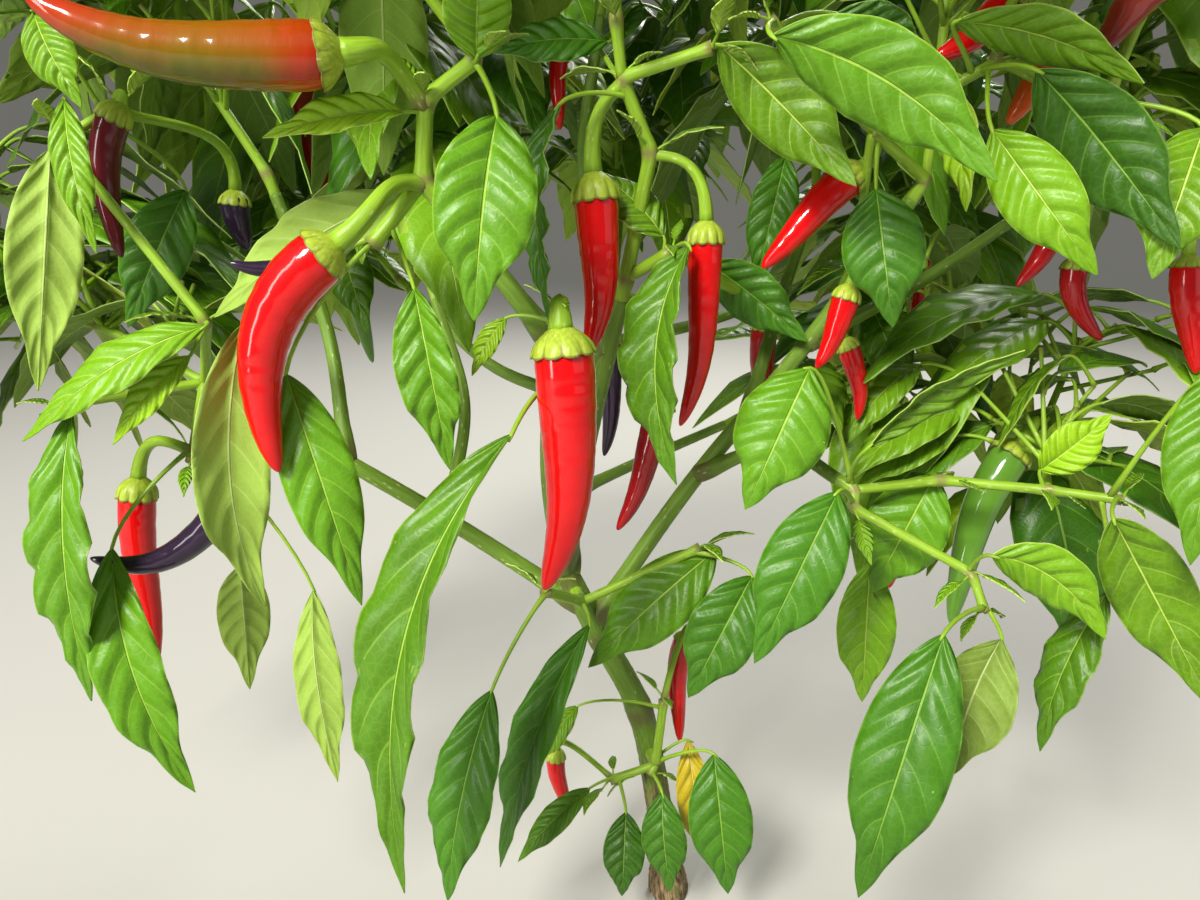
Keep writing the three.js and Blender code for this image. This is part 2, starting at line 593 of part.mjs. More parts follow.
// The solids of all twigs beyond a joint. The first twig of each fork goes on in the same solid as the twig
// before it, and the others start inside that joint.
function twigSolids(joint, before) {
  const [onward, ...others] = joint.next;
  const side = others.flatMap((next) =>
    twigSolids(next, [{ point: joint.point, way: next.way, radius: joint.radius * SIDE_ROOT }]));
  const way = onward ? joint.way.clone().add(onward.way) : joint.way;
  const chain = [...before, { point: joint.point, way, radius: joint.radius }];
  return onward ? [...side, ...twigSolids(onward, chain)] : [...side, loft(ringsAlong(chain, 3))];
}

// The side of a blade that faces the lens, turned about the blade by so many degrees.
function facing(start, tip, turn) {
  const blade = unit(start, tip);
  const view = unit(start, LENS);
  return blade.clone().cross(view).normalize().applyAxisAngle(blade, THREE.MathUtils.degToRad(turn));
}

function placeShown(mass) {
  const keep = (solids) => {
    if (tryPlace(solids, mass, true)) mass.pieces.push(solids.whole);
  };
  for (const [end, from] of mass.twigs ?? []) {
    const joint = mass.joints[from];
    tryTwig(mass, joint, seen(end), Math.max(LEAST_TWIG, joint.radius * SHOWN_THINS), true);
  }
  for (const [, shoulder, end, radius, bend, from] of mass.fruits ?? []) {
    const [start, tip] = [seen(shoulder), seen(end)];
    const foot = nextFoot(mass.joints[from] ?? nearestJoint(mass, start));
    const sides = radius > LARGE_FRUIT ? 5 : 4;
    keep(fruitSolids({ foot, start, tip, radius, bend, sides, stations: SHOWN_STATIONS }));
  }
  for (const [, base, end, width, turn, sway = 0] of mass.leaves ?? []) {
    const [start, tip] = [seen(base), seen(end)];
    const foot = nextFoot(nearestJoint(mass, start));
    const side = facing(start, tip, turn);
    keep(leafSolids({ foot, start, tip, width, side, sections: SHOWN_SECTIONS, sway }));
  }
}

// One twig and the fork that goes on from there. Each twig has random numbers of its own, so that one left
// out changes no other.
function growTwig(mass, from, direction, order, id) {
  const random = seeded(mass.seed * 1000 + id);
  const length = TWIG_LENGTH * TWIG_SHORTENS ** order * mixed(0.85, 1.15, random());
  const end = from.point.clone().addScaledVector(direction, length);
  if (!inSpace(mass, end) || hiddenByPicture(end)) return;
  const joint = tryTwig(mass, from, end, TWIG_RADIUS * TWIG_THINS ** (order + 1));
  if (!joint) return;
  mass.filled.push({ joint, id, last: order + 1 >= ORDERS });
  if (order + 1 >= ORDERS) return;
  const anyWay = new THREE.Vector3(random() - 0.5, random() - 0.5, random() - 0.5);
  const axis = direction.clone().cross(anyWay).normalize();
  for (const hand of [1, -1]) {
    const angle = THREE.MathUtils.degToRad(hand * FORK_ANGLE * mixed(0.75, 1.25, random()));
    const next = direction.clone().applyAxisAngle(axis, angle).addScaledVector(UP, RISE).normalize();
    growTwig(mass, joint, next, order + 1, 2 * id + (hand > 0 ? 0 : 1));
  }
}

// A leaf that fills the crown: its stalk leads off between the twig's way and a heading, and its blade
// droops.
function fillLeaf(mass, joint, foot, heading, random) {
  const out = new THREE.Vector3(Math.cos(heading), Math.sin(heading), 0);
  const rise = mixed(-0.1, 0.4, random());
  const stalk = out.clone().addScaledVector(joint.way, 0.5).addScaledVector(UP, rise).normalize();
  const length = BLADE_LENGTH * mixed(0.7, 1.2, random());
  const droop = THREE.MathUtils.degToRad(mixed(...DROOP, random()));
  const roll = THREE.MathUtils.degToRad(mixed(-24, 24, random()));
  const start = foot.clone().addScaledVector(stalk, STALK_LENGTH * mixed(0.7, 1.2, random()));
  const blade = out.clone().multiplyScalar(Math.cos(droop)).addScaledVector(UP, -Math.sin(droop));
  const tip = start.clone().addScaledVector(blade, length);
  const side = blade.clone().cross(UP).normalize().applyAxisAngle(blade, roll);
  const middle = start.clone().lerp(tip, 0.5);
  if (!inSpace(mass, middle) || [start, middle, tip].some(hiddenByPicture)) return false;
  const solids = leafSolids({ foot, start, tip, width: BLADE_WIDTH * length, side, sections: FILL_SECTIONS });
  if (!tryPlace(solids, mass)) return false;
  mass.pieces.push(solids.whole);
  return true;
}

function fillFruit(mass, joint, heading, random) {
  const foot = nextFoot(joint);
  const out = new THREE.Vector3(Math.cos(heading), Math.sin(heading), 0);
  const length = FRUIT_LENGTH * mixed(0.75, 1.15, random());
  const start = foot.clone().addScaledVector(out, mixed(12, 18, random())).addScaledVector(UP, -6);
  const down = out.clone().multiplyScalar(mixed(0, 0.5, random())).addScaledVector(UP, -1).normalize();
  const tip = start.clone().addScaledVector(down, length);
  const radius = FRUIT_RADIUS * mixed(0.75, 1.1, random());
  if (!inSpace(mass, start) || [start, tip].some(hiddenByPicture)) return;
  const solids = fruitSolids({ foot, start, tip, radius, sides: 4, stations: FILL_STATIONS });
  if (tryPlace(solids, mass)) mass.pieces.push(solids.whole);
}

// What hangs on the joints of the crown's own twigs: now and then a fruit, and leaves all round.
function hangOn(mass, { joint, id, last }) {
  const random = seeded(mass.seed * 1000 + 500 + id);
  const outward = Math.atan2(joint.point.y - mass.centre.y, joint.point.x - mass.centre.x);
  const first = outward + mixed(-0.6, 0.6, random());
  if (random() < FRUIT_SHARE) fillFruit(mass, joint, first + 2.2, random);
  const leaves = last ? 5 : 4;
  for (let k = 0; k < leaves; k++) {
    const heading = first + (2 * Math.PI * k) / leaves;
    const foot = nextFoot(joint);
    for (let turn = 0; turn < TRIES; turn++) {
      if (fillLeaf(mass, joint, foot, heading + TRY_TURN * turn, random)) break;
    }
  }
}

// A mass starts with a stub that goes on straight from its limb's tip, or stands out square from its side.
function startMass(mass) {
  const { curve, radiusAt } = limbs.get(mass.on);
  const share = mass.at ?? 1;
  const along = curve.getTangent(share);
  const side = mass.lead ? vector(mass.lead).projectOnPlane(along).normalize() : along;
  const start = curve.getPoint(share).addScaledVector(side, mass.lead ? radiusAt(share) + SIDE_GAP : GAP);
  const point = start.clone().addScaledVector(side, STUB_LENGTH);
  const radius = mass.lead ? SIDE_STUB_RADIUS : radiusAt(1);
  mass.centre = vector(mass.heart);
  mass.pieces = [];
  mass.joints = [
    { point, radius: Math.min(radius, mass.thick ?? TWIG_RADIUS), way: side, length: STUB_LENGTH, next: [] },
  ];
  mass.filled = [];
  const stub = loft(ringsAlong([
    { point: start, way: side, radius },
    { point, way: side, radius: radius * STUB_THINS },
  ], 6));
  if (tryPlace({ whole: stub, free: stub }, mass)) mass.pieces.push(stub);
}

buildStem();
BOUGHS.forEach(buildBough);
for (const [owner, { solid }] of limbs) placed.push({ owner, solid, box: solid.boundingBox() });
MASSES.forEach(startMass);
MASSES.forEach(placeShown);
for (const mass of MASSES) {
  (mass.grows ?? []).forEach((index, i) => {
    const joint = mass.joints[index];
    growTwig(mass, joint, mass.centre.clone().sub(joint.point).normalize(), 0, 1 + 64 * i);
  });
}
for (const mass of MASSES) mass.filled.forEach((joint) => hangOn(mass, joint));
for (const mass of MASSES) {
  const [first] = mass.joints;
  const inStub = { ...first, point: first.point.clone().addScaledVector(first.way, -STUB_LENGTH / 2) };
  const solids = [...mass.pieces, ...twigSolids(first, [inStub])];
  addMesh(mass.name, wasm.Manifold.union(solids), leafGreen);
}

export default group;
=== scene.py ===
# %% [markdown]
# A chilli pepper plant in fruit, grown by a rule
#
# The plant is one stem with a corky foot. It forks low into green boughs, the boughs fork into twigs, and the
# twigs carry leaves and hanging fruits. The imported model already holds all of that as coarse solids, so the
# first step loads it, and every finer piece is built around it at the same place and size.

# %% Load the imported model
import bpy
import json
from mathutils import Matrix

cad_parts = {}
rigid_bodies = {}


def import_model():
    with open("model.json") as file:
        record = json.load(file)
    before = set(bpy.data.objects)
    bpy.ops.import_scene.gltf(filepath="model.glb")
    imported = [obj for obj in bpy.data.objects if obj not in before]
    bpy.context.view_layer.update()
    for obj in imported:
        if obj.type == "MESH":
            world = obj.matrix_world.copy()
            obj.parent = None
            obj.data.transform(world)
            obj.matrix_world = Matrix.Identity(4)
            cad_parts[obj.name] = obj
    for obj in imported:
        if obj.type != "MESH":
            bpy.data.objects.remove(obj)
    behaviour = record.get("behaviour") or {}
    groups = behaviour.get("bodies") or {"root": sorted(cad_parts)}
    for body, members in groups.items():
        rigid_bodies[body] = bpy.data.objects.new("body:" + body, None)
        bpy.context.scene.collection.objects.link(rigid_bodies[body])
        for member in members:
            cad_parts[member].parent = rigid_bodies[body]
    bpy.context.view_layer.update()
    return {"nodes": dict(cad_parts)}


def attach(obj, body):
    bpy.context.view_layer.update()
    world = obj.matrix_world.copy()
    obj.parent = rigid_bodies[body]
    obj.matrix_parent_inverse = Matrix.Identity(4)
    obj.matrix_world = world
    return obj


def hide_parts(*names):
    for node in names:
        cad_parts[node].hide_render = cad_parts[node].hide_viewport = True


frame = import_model()
print("packed solids:", len(frame["nodes"]))

# %% [markdown]
# The camera
#
# A picture fixes where its camera stood. Here it is a short way in front of the leaves, a little above the
# middle of the plant, and it looks slightly down. The focal length in pixels over half the picture's width
# gives the lens, so a place in the picture and its depth can be turned into a point on the plant, and back.

# %% Camera at the picture's viewing angle
import json
import math

import bpy
import numpy as np

MM = 0.001
LENS = np.array([-30.0, -330.0, 287.0])     # where the camera stands, in mm
LOOKS_DOWN = math.radians(15)
MIDDLE = np.array([600.0, 450.0])           # of the picture, in pixels
FOCAL = 900.0                               # in pixels
SENSOR = 36.0                               # width of the camera's sensor, in mm

camera_data = bpy.data.cameras.new("camera")
camera_data.sensor_width = SENSOR
camera_data.lens = SENSOR * FOCAL / (2 * MIDDLE[0])
camera_data.clip_start = 0.01
camera = bpy.data.objects.new("camera", camera_data)
camera.location = LENS * MM
camera.rotation_euler = (math.pi / 2 - LOOKS_DOWN, 0, 0)
bpy.context.scene.collection.objects.link(camera)
bpy.context.scene.camera = camera
print("lens of", round(camera_data.lens, 1), "mm")

# %% [markdown]
# Points, ways and repeatable chance
#
# A rule that grows a plant needs three small tools: places read from the picture, turns about an axis, and
# numbers that look random yet come out the same on every run. Python's own random numbers would do, but the
# solids were grown with this short formula, and only the same formula gives the same twigs.

# %% Places, turns and chance
UP = np.array([0.0, 0.0, 1.0])


def seen(place):
    """The point at [across, down, depth]: the ray through two pixels, followed until it is that far back."""
    across, down, depth = place
    rise = (MIDDLE[1] - down) / FOCAL
    reach = (depth - LENS[1]) / (math.cos(LOOKS_DOWN) + math.sin(LOOKS_DOWN) * rise)
    return np.array([
        LENS[0] + reach * (across - MIDDLE[0]) / FOCAL,
        depth,
        LENS[2] + reach * (math.cos(LOOKS_DOWN) * rise - math.sin(LOOKS_DOWN)),
    ])


def in_picture(point):
    """True where a point lies inside the picture's frame: across and up, each divided by the way off."""
    x, y, z = point - LENS
    away = y * math.cos(LOOKS_DOWN) - z * math.sin(LOOKS_DOWN)
    rise = y * math.sin(LOOKS_DOWN) + z * math.cos(LOOKS_DOWN)
    return abs(x / away * FOCAL) < MIDDLE[0] and abs(rise / away * FOCAL) < MIDDLE[1]


def unit(vector):
    """A vector divided by its length, along the last axis of an array."""
    return vector / np.linalg.norm(vector, axis=-1, keepdims=True)


def turned(vector, axis, angle):
    """A vector turned about a unit axis: its part along the axis stays and the rest swings round by the
    angle."""
    along = np.sum(vector * axis, axis=-1, keepdims=True) * axis
    return along + (vector - along) * np.cos(angle) + np.cross(axis, vector) * np.sin(angle)


def mixed(start, end, share):
    """The value a share of the way from start to end."""
    return start + (end - start) * share


def seeded(seed):
    """Numbers from 0 to 1 in an order fixed by the seed: the last whole number, times one constant and plus
    another, keeps its lowest 32 bits."""
    state = (seed * 2654435 + 12345) % 2**32

    def draw():
        nonlocal state
        state = (state * 1664525 + 1013904223) % 2**32
        return state / 2**32

    draw()
    draw()
    return draw


print("the picture's middle, 300 mm away:", seen([600, 450, -30]).round(1))

# %% [markdown]
# Stem and boughs
#
# A stem is a smooth curve through a few bends with a thickness for each share of its length. A Bezier curve
# object could do it, but a spline worked out in numpy gives points, directions and thickness in one go, and
# it can copy the very curve that the solids follow: a cubic between neighbours, with slopes weighed by the
# square root of the distances, which keeps it from looping at tight bends.

# %% The limbs' paths
STEM = {
    "path": [[0, 0, 0], [-5, 0, 42], [-14, 0, 88], [-30, -6, 124], [-44, -12, 156]],
    "foot_radius": 8.5, "radius": 5.6, "tip_radius": 4.4, "flare_height": 14,
    "joints": [0.5, 0.75], "joint_swell": 0.7, "joint_length": 0.035,
}

# name, parent, share of the parent where it leaves, bends up to its tip, radius at its start and its tip
BOUGHS = [
    ("front_bough", "main_stem", 1, [[-47, -34, 200], [-44, -52, 246]], (3.9, 3.2)),
    ("centre_bough", "main_stem", 1, [[-34, -16, 208], [-23, -28, 258]], (3.5, 2.8)),
    ("back_bough", "main_stem", 0.97, [[-42, 18, 196], [-28, 52, 240], [-22, 84, 282]], (3.7, 2.6)),
    ("left_bough", "main_stem", 0.86, [[-84, -10, 172], [-126, -22, 204], [-158, -28, 226]], (3.3, 2.4)),
    ("right_bough", "main_stem", 0.8, [[4, -4, 186], [44, -12, 242], [72, -24, 290]], (3.4, 2.5)),
    ("left_front_bough", "front_bough", 1, [[-60, -58, 268], [-76, -62, 289]], (3.1, 2.8)),
    ("low_right_bough", "right_bough", 0.36, [[34, -24, 206], [51, -36, 198]], (2.6, 2.2)),
    ("right_outer_bough", "right_bough", 0.66, [[92, 12, 262], [126, 18, 284]], (2.6, 2.1)),
    ("left_high_bough", "left_bough", 0.62, [[-130, 0, 244], [-146, 4, 292]], (2.6, 2.1)),
    ("back_left_bough", "back_bough", 0.45, [[-76, 52, 222], [-116, 82, 252]], (2.7, 2.1)),
    ("back_right_bough", "back_bough", 0.6, [[24, 76, 240], [72, 96, 256]], (2.7, 2.1)),
    ("inner_left_bough", "left_bough", 0.36, [[-84, 22, 212], [-96, 34, 252]], (2.5, 2.0)),
    ("inner_right_bough", "right_bough", 0.5, [[40, 18, 256], [54, 40, 286]], (2.5, 2.0)),
    ("low_back_bough", "back_bough", 0.2, [[-10, 34, 186], [24, 52, 196]], (2.4, 1.9)),
    ("top_bough", "centre_bough", 0.8, [[-36, 0, 300], [-30, 14, 352]], (2.5, 2.0)),
]
print("boughs:", len(BOUGHS))

# %% Curves and thicknesses


def smooth_path(points):
    """A curve through points. Between two of them it is a cubic of the share of the way, which leaves and
    arrives with slopes averaged over the neighbouring gaps, each gap counted as the square root of its
    length."""
    knots = np.array(points, float)
    ends = np.vstack([2 * knots[0] - knots[1], knots, 2 * knots[-1] - knots[-2]])
    gaps = np.sum(np.diff(ends, axis=0) ** 2, axis=1) ** 0.25

    def at(share):
        place = np.clip(np.asarray(share, float), 0, 1) * (len(knots) - 1)
        piece = np.minimum(place.astype(int), len(knots) - 2)
        t = (place - piece)[..., None]
        before, start, end, after = (ends[piece + k] for k in range(4))
        gap_before, gap, gap_after = (gaps[piece + k][..., None] for k in range(3))
        leave = ((start - before) / gap_before - (end - before) / (gap_before + gap)) * gap + end - start
        arrive = ((after - end) / gap_after - (after - start) / (gap + gap_after)) * gap + end - start
        bend = 3 * (end - start) - 2 * leave - arrive
        return start + t * leave + t**2 * bend + t**3 * (leave + arrive - 2 * (end - start))

    return at


def heading(path, share):
    """The unit way of a path at a share of its length, from two points a ten-thousandth to each side."""
    step = 0.0001
    return unit(path(min(1, share + step)) - path(max(0, share - step)))


def stem_radius(share):
    """Straight taper, plus a flare at the foot and a swelling at each joint, both bell shaped."""
    share = np.asarray(share, float)
    height = STEM["path"][-1][2] * share
    flare = (STEM["foot_radius"] - STEM["radius"]) * np.exp(-((height / STEM["flare_height"]) ** 2))
    swell = sum(np.exp(-(((share - joint) / STEM["joint_length"]) ** 2)) for joint in STEM["joints"])
    return mixed(STEM["radius"], STEM["tip_radius"], share) + flare + STEM["joint_swell"] * swell


def tapered(thick, thin):
    """A bough's radius for a share of its length: a straight taper."""
    return lambda share: mixed(thick, thin, share)


print("stem radius at foot, half way and fork:", stem_radius([0, 0.5, 1]).round(1), "mm")

# %% Put the limbs together
limbs = {"main_stem": {"path": smooth_path(STEM["path"]), "radius": stem_radius, "parent": None}}
for bough, parent, leaves_at, bends, radii in BOUGHS:
    path = smooth_path([limbs[parent]["path"](leaves_at), *bends])
    limbs[bough] = {"path": path, "radius": tapered(*radii), "parent": parent}
print("limbs:", len(limbs), "and the top bough ends", limbs["top_bough"]["path"](1).round(1))

# %% [markdown]
# Masses of foliage
#
# Each bough ends in a mass of twigs, leaves and fruits that keeps to its own part of the crown. The leaves
# and fruits nearest the camera are places in the picture. The rest of a mass grows by a rule from a seed.
# Sculpting each leaf by hand would be truer still, but nobody could do that all round a crown, so this
# table names only what the picture shows and leaves the rest to the rule.

# %% What the picture shows of each mass
# name: what it grows on, its heart and its reach in mm. Shown places are [across, down, depth] in the
# picture. A twig is its end and the number of the joint it starts from. A leaf is its name, the blade's
# start, its tip, its width in mm, its turn in degrees away from the lens and its sway. A fruit is its name,
# shoulder, tip, radius and bow, and the number of its joint where it doesn't hang on the nearest. Thick is
# the radius of the first joint. Grows lists the joints where the crown's own twigs start.
MASSES = {
    "front_spray": {
        "on": "front_bough", "at": 0.93, "lead": [0.1, -1, 0.2],
        "heart": [-44, -70, 250], "reach": [30, 30, 40],
        "twigs": [([562, 314, -64], 0)],
        "leaves": [
            ("long_front_leaf", [512, 434, -92], [405, 895, -114], 28, 24, 0.08),
            ("small_curled_leaf", [506, 318, -60], [472, 376, -62], 8, 30),
        ],
        "fruits": [("front_fruit", [562, 340, -77], [544, 590, -82], 8.8, -0.065)],
    },
    "left_front_spray": {
        "on": "left_front_bough", "heart": [-100, -34, 372], "reach": [76, 76, 84], "seed": 398, "grows": [3],
        "thick": 2.5,
        "twigs": [([425, 100, -66], 0), ([372, 246, -68], 0), ([478, 58, -73], 1)],
        "leaves": [
            ("heart_leaf", [497, 116, -84], [474, 322, -94], 28, 10),
            ("cover_leaf", [404, 197, -56], [214, 318, -50], 22, 30),
            ("slender_leaf", [404, 112, -70], [262, 138, -80], 12, 30),
            ("pale_left_leaf", [244, 324, -76], [266, 607, -80], 22, 0, 0.08),
            ("shaded_left_leaf", [286, 374, -72], [362, 606, -80], 21, 0),
            ("inner_left_leaf", [414, 288, -70], [450, 470, -74], 20, 0),
            ("rising_leaf", [476, 60, -76], [482, -50, -92], 18, 10),
        ],
        "fruits": [
            ("left_fruit", [328, 250, -82], [279, 472, -88], 8, 0.18, 0),
            ("turning_fruit", [328, 54, -88], [24, -6, -104], 8.6, -0.09),
            ("small_dark_fruit", [300, 268, -60], [229, 262, -66], 3, -0.06),
        ],
    },
    "centre_front_spray": {
        "on": "centre_bough", "heart": [-26, -22, 400], "reach": [66, 72, 88], "seed": 346, "grows": [5],
        "thick": 2.4,
        "twigs": [
            ([651, 152, -42], 0), ([672, 252, -40], 0), ([622, 78, -48], 1), ([712, 48, -58], 3),
            ([616, 20, -52], 3),
            ([640, 302, -12], 2), ([748, 298, -6], 2),
        ],
        "leaves": [
            ("edge_on_leaf", [560, 104, -58], [551, 326, -66], 16, 55),
            ("hanging_leaf", [689, 246, -54], [677, 486, -70], 24, 24, 0.08),
            ("top_middle_leaf", [718, 45, -58], [857, 187, -66], 23, 10),
            ("arching_leaf", [664, 238, -38], [598, 172, -30], 15, 30),
            ("dark_left_leaf", [608, 42, -32], [486, 52, -36], 14, 30),
            ("dark_right_leaf", [786, 155, -4], [754, 292, -8], 17, 0),
            ("shade_leaf", [706, 262, -16], [808, 342, -20], 20, 10),
        ],
        "fruits": [
            ("second_fruit", [594, 182, -44], [586, 356, -48], 6.9, -0.06, 3),
            ("third_fruit", [706, 228, -44], [680, 426, -46], 5.4, -0.05, 1),
            ("far_red_fruit", [560, 56, 4], [560, 130, 4], 3.2, 0.03),
            ("behind_dark_fruit", [611, 338, 4], [604, 456, 2], 4.6, -0.03),
            ("behind_long_fruit", [662, 402, -8], [617, 530, -12], 5.4, -0.04),
            ("behind_leaf_fruit", [766, 322, 26], [763, 430, 26], 5.3, 0.02),
        ],
    },
    "right_top_spray": {
        "on": "right_bough", "heart": [78, -26, 376], "reach": [84, 84, 78], "seed": 378, "grows": [0, 2],
        "twigs": [
            ([872, 130, -44], 0), ([1000, 60, -56], 1), ([770, 20, -66], 1), ([1120, 120, -50], 2),
            ([856, 258, -14], 1),
        ],
        "leaves": [
            ("broad_top_leaf", [772, 36, -84], [998, 183, -98], 25, 15, -0.06),
            ("bright_leaf", [992, 130, -72], [1098, 276, -86], 20, 0),
            ("deep_green_leaf", [1036, 70, -70], [1182, 250, -84], 26, 10),
            ("top_edge_leaf", [955, 22, -68], [1145, 84, -80], 18, 40),
            ("lit_half_leaf", [876, 188, -40], [893, 328, -46], 25, 0),
            ("young_pair_leaf", [932, 72, -56], [966, 212, -64], 14, 30),
            ("round_top_leaf", [836, 14, -48], [934, 62, -52], 18, 10),
            ("right_edge_leaf", [1204, 128, -70], [1152, 280, -78], 24, 0),
        ],
        "fruits": [
            ("slanting_fruit", [856, 172, -30], [762, 268, -36], 6, 0.02),
            ("dark_red_fruit", [1076, 182, -22], [1016, 286, -26], 4.8, -0.06),
            ("hooked_fruit", [1076, 262, -16], [1102, 340, -18], 4.4, 0.14),
            ("violet_top_fruit", [1164, -24, -52], [1100, 52, -60], 6.2, 0.05),
            ("orange_fruit", [1064, 54, -12], [1008, 124, -14], 5.6, 0.04),
            ("top_red_fruit", [1014, -6, -40], [934, 56, -44], 5.4, -0.08),
            ("right_edge_fruit", [1188, 262, -40], [1196, 374, -44], 5, 0.03),
            ("pair_left_fruit", [849, 290, -32], [816, 368, -34], 4.6, -0.04),
            ("pair_right_fruit", [846, 342, -10], [857, 420, -12], 4, -0.08),
        ],
    },
    "right_low_spray": {
        "on": "low_right_bough", "heart": [128, -20, 206], "reach": [92, 84, 78],
        "seed": 192, "grows": [0, 5],
        "twigs": [
            ([852, 507, -42], 0), ([972, 573, -60], 1), ([985, 612, -66], 2), ([940, 480, -40], 0),
            ([1048, 490, -52], 4), ([1122, 500, -62], 5),
        ],
        "leaves": [
            ("middle_leaf", [810, 368, -46], [745, 510, -54], 30, 0),
            ("lower_middle_leaf", [838, 492, -56], [754, 664, -66], 26, 0),
            ("big_front_leaf", [944, 634, -84], [858, 898, -98], 29, 0),
            ("pale_back_leaf", [1002, 640, -70], [948, 778, -76], 27, 20),
            ("drooping_leaf", [992, 556, -74], [1106, 640, -82], 19, 25, -0.1),
            ("pointing_leaf", [868, 448, -60], [1026, 350, -74], 14, 50),
            ("broad_shade_leaf", [935, 475, -34], [872, 592, -30], 28, 0),
            ("right_hanging_leaf", [1113, 518, -78], [1215, 712, -90], 24, 0),
            ("near_edge_leaf", [1222, 366, -84], [1190, 566, -96], 22, 0),
            ("small_upper_leaf", [1040, 470, -52], [1112, 414, -58], 16, 10),
            ("far_hanging_leaf", [1108, 592, -60], [1040, 752, -66], 18, 30),
            ("inner_pale_leaf", [870, 562, -18], [862, 702, -20], 22, 0),
        ],
        "fruits": [("hidden_fruit", [896, 540, 6], [888, 588, 6], 4, 0)],
    },
    "left_spray": {
        "on": "left_bough", "heart": [-196, -18, 244], "reach": [92, 84, 92], "seed": 45, "grows": [0],
        "twigs": [
            ([192, 462, -48], 0), ([66, 404, -50], 0), ([206, 322, -50], 0), ([60, 140, -46], 3),
            ([120, 104, -38], 4),
        ],
        "leaves": [
            ("left_edge_leaf", [72, 412, -66], [92, 702, -78], 22, 30),
            ("front_left_leaf", [112, 548, -64], [196, 793, -74], 22, 10, 0.05),
            ("narrow_hanging_leaf", [314, 590, -46], [338, 782, -52], 17, 20),
            ("blurred_leaf", [240, 566, -20], [250, 690, -20], 20, 0),
            ("long_left_leaf", [206, 326, -60], [22, 442, -72], 17, 40),
            ("lime_leaf", [190, 356, -60], [113, 445, -66], 11, 30),
            ("veined_left_leaf", [50, 150, -52], [38, 392, -62], 20, 0),
            ("thin_left_leaf", [64, 98, -54], [97, 255, -62], 11, 20),
            ("corner_leaf", [34, 12, -54], [82, 108, -60], 14, 20),
            ("back_left_leaf", [186, 190, -20], [128, 328, -28], 22, 10),
        ],
        "fruits": [
            ("maroon_fruit", [118, 108, -40], [122, 258, -44], 5, 0.1),
            ("curved_violet_fruit", [222, 508, -58], [90, 558, -66], 5, -0.2),
            ("behind_red_fruit", [138, 484, -34], [156, 666, -38], 6.2, 0.02),
            ("brown_red_fruit", [68, 466, -20], [65, 612, -20], 4.8, 0.02),
            ("far_violet_fruit", [235, 196, 8], [248, 250, 8], 5.4, 0.05),
        ],
    },
    "middle_spray": {
        "on": "main_stem", "at": 0.93, "lead": [0.2, -1, 0.1],
        "heart": [-40, -40, 150], "reach": [60, 40, 40],
        "twigs": [([545, 592, -44], 0), ([700, 548, -24], 0)],
        "leaves": [
            ("second_front_leaf", [492, 690, -62], [448, 902, -76], 23, 20),
            ("cross_leaf", [716, 550, -22], [588, 668, -28], 26, 10),
            ("bending_leaf", [590, 624, -34], [500, 868, -44], 20, 25),
            ("lower_right_leaf", [752, 576, -34], [688, 698, -40], 26, 0),
        ],
    },
    "foot_shoots": {
        "on": "main_stem", "at": 0.4, "lead": [0.1, -1, 0.3], "heart": [-5, -20, 60], "reach": [50, 30, 40],
        "twigs": [([664, 700, -10], 0), ([650, 775, -14], 0), ([610, 780, -14], 0)],
        "leaves": [
            ("foot_right_leaf", [714, 754, -22], [728, 894, -32], 25, 0),
            ("foot_left_leaf", [626, 812, -18], [622, 896, -24], 17, 0),
            ("foot_middle_leaf", [662, 792, -24], [670, 892, -30], 18, 10),
            ("yellow_leaf", [688, 740, -8], [702, 858, -12], 15, 0),
            ("foot_side_leaf", [590, 788, -18], [518, 862, -26], 12, 20),
            ("foot_small_leaf", [578, 706, -12], [536, 764, -16], 11, 20),
        ],
        "fruits": [
            ("low_right_fruit", [686, 636, 2], [680, 742, 0], 4.6, 0.05),
            ("low_left_fruit", [556, 752, -2], [570, 814, -2], 4, 0.05),
        ],
    },
    "left_high_spray": {
        "on": "left_high_bough", "heart": [-184, 2, 360], "reach": [84, 84, 84], "seed": 125, "grows": [0],
    },
    "right_outer_spray": {
        "on": "right_outer_bough", "heart": [172, 30, 330], "reach": [84, 84, 84], "seed": 381, "grows": [0],
    },
    "back_left_spray": {
        "on": "back_left_bough", "heart": [-156, 112, 290], "reach": [92, 84, 92], "seed": 207, "grows": [0],
    },
    "back_spray": {
        "on": "back_bough", "heart": [-24, 136, 330], "reach": [84, 84, 92], "seed": 213, "grows": [0],
    },
    "back_right_spray": {
        "on": "back_right_bough", "heart": [118, 124, 280], "reach": [92, 84, 92], "seed": 341, "grows": [0],
    },
    "inner_left_spray": {
        "on": "inner_left_bough", "heart": [-100, 48, 320], "reach": [84, 84, 84], "seed": 89, "grows": [0],
    },
    "inner_right_spray": {
        "on": "inner_right_bough", "heart": [56, 60, 350], "reach": [84, 84, 84], "seed": 188, "grows": [0],
    },
    "low_back_spray": {
        "on": "low_back_bough", "heart": [72, 62, 210], "reach": [76, 70, 76], "seed": 281, "grows": [0],
    },
    "top_spray": {
        "on": "top_bough", "heart": [-30, 40, 430], "reach": [88, 88, 84], "seed": 360, "grows": [0],
    },
}
for name, mass in MASSES.items():
    mass.update(name=name, heart=np.array(mass["heart"], float), reach=np.array(mass["reach"], float))
shown_count = sum(len(mass.get("leaves", [])) for mass in MASSES.values())
print("masses:", len(MASSES), "with", shown_count, "shown leaves")

# %% [markdown]
# The rule of growth
#
# A twig ends in a joint. Two more twigs fork from the joint, each leaning away from the last one and a
# little up, and leaves and now and then a fruit hang round it. A particle system or a sapling add-on could
# scatter leaves faster, but neither keeps to the solids. Here the solids were grown by this same rule,
# which skips whatever would touch something else, so a twig, leaf or fruit stands only where the loaded
# solid has its corner.

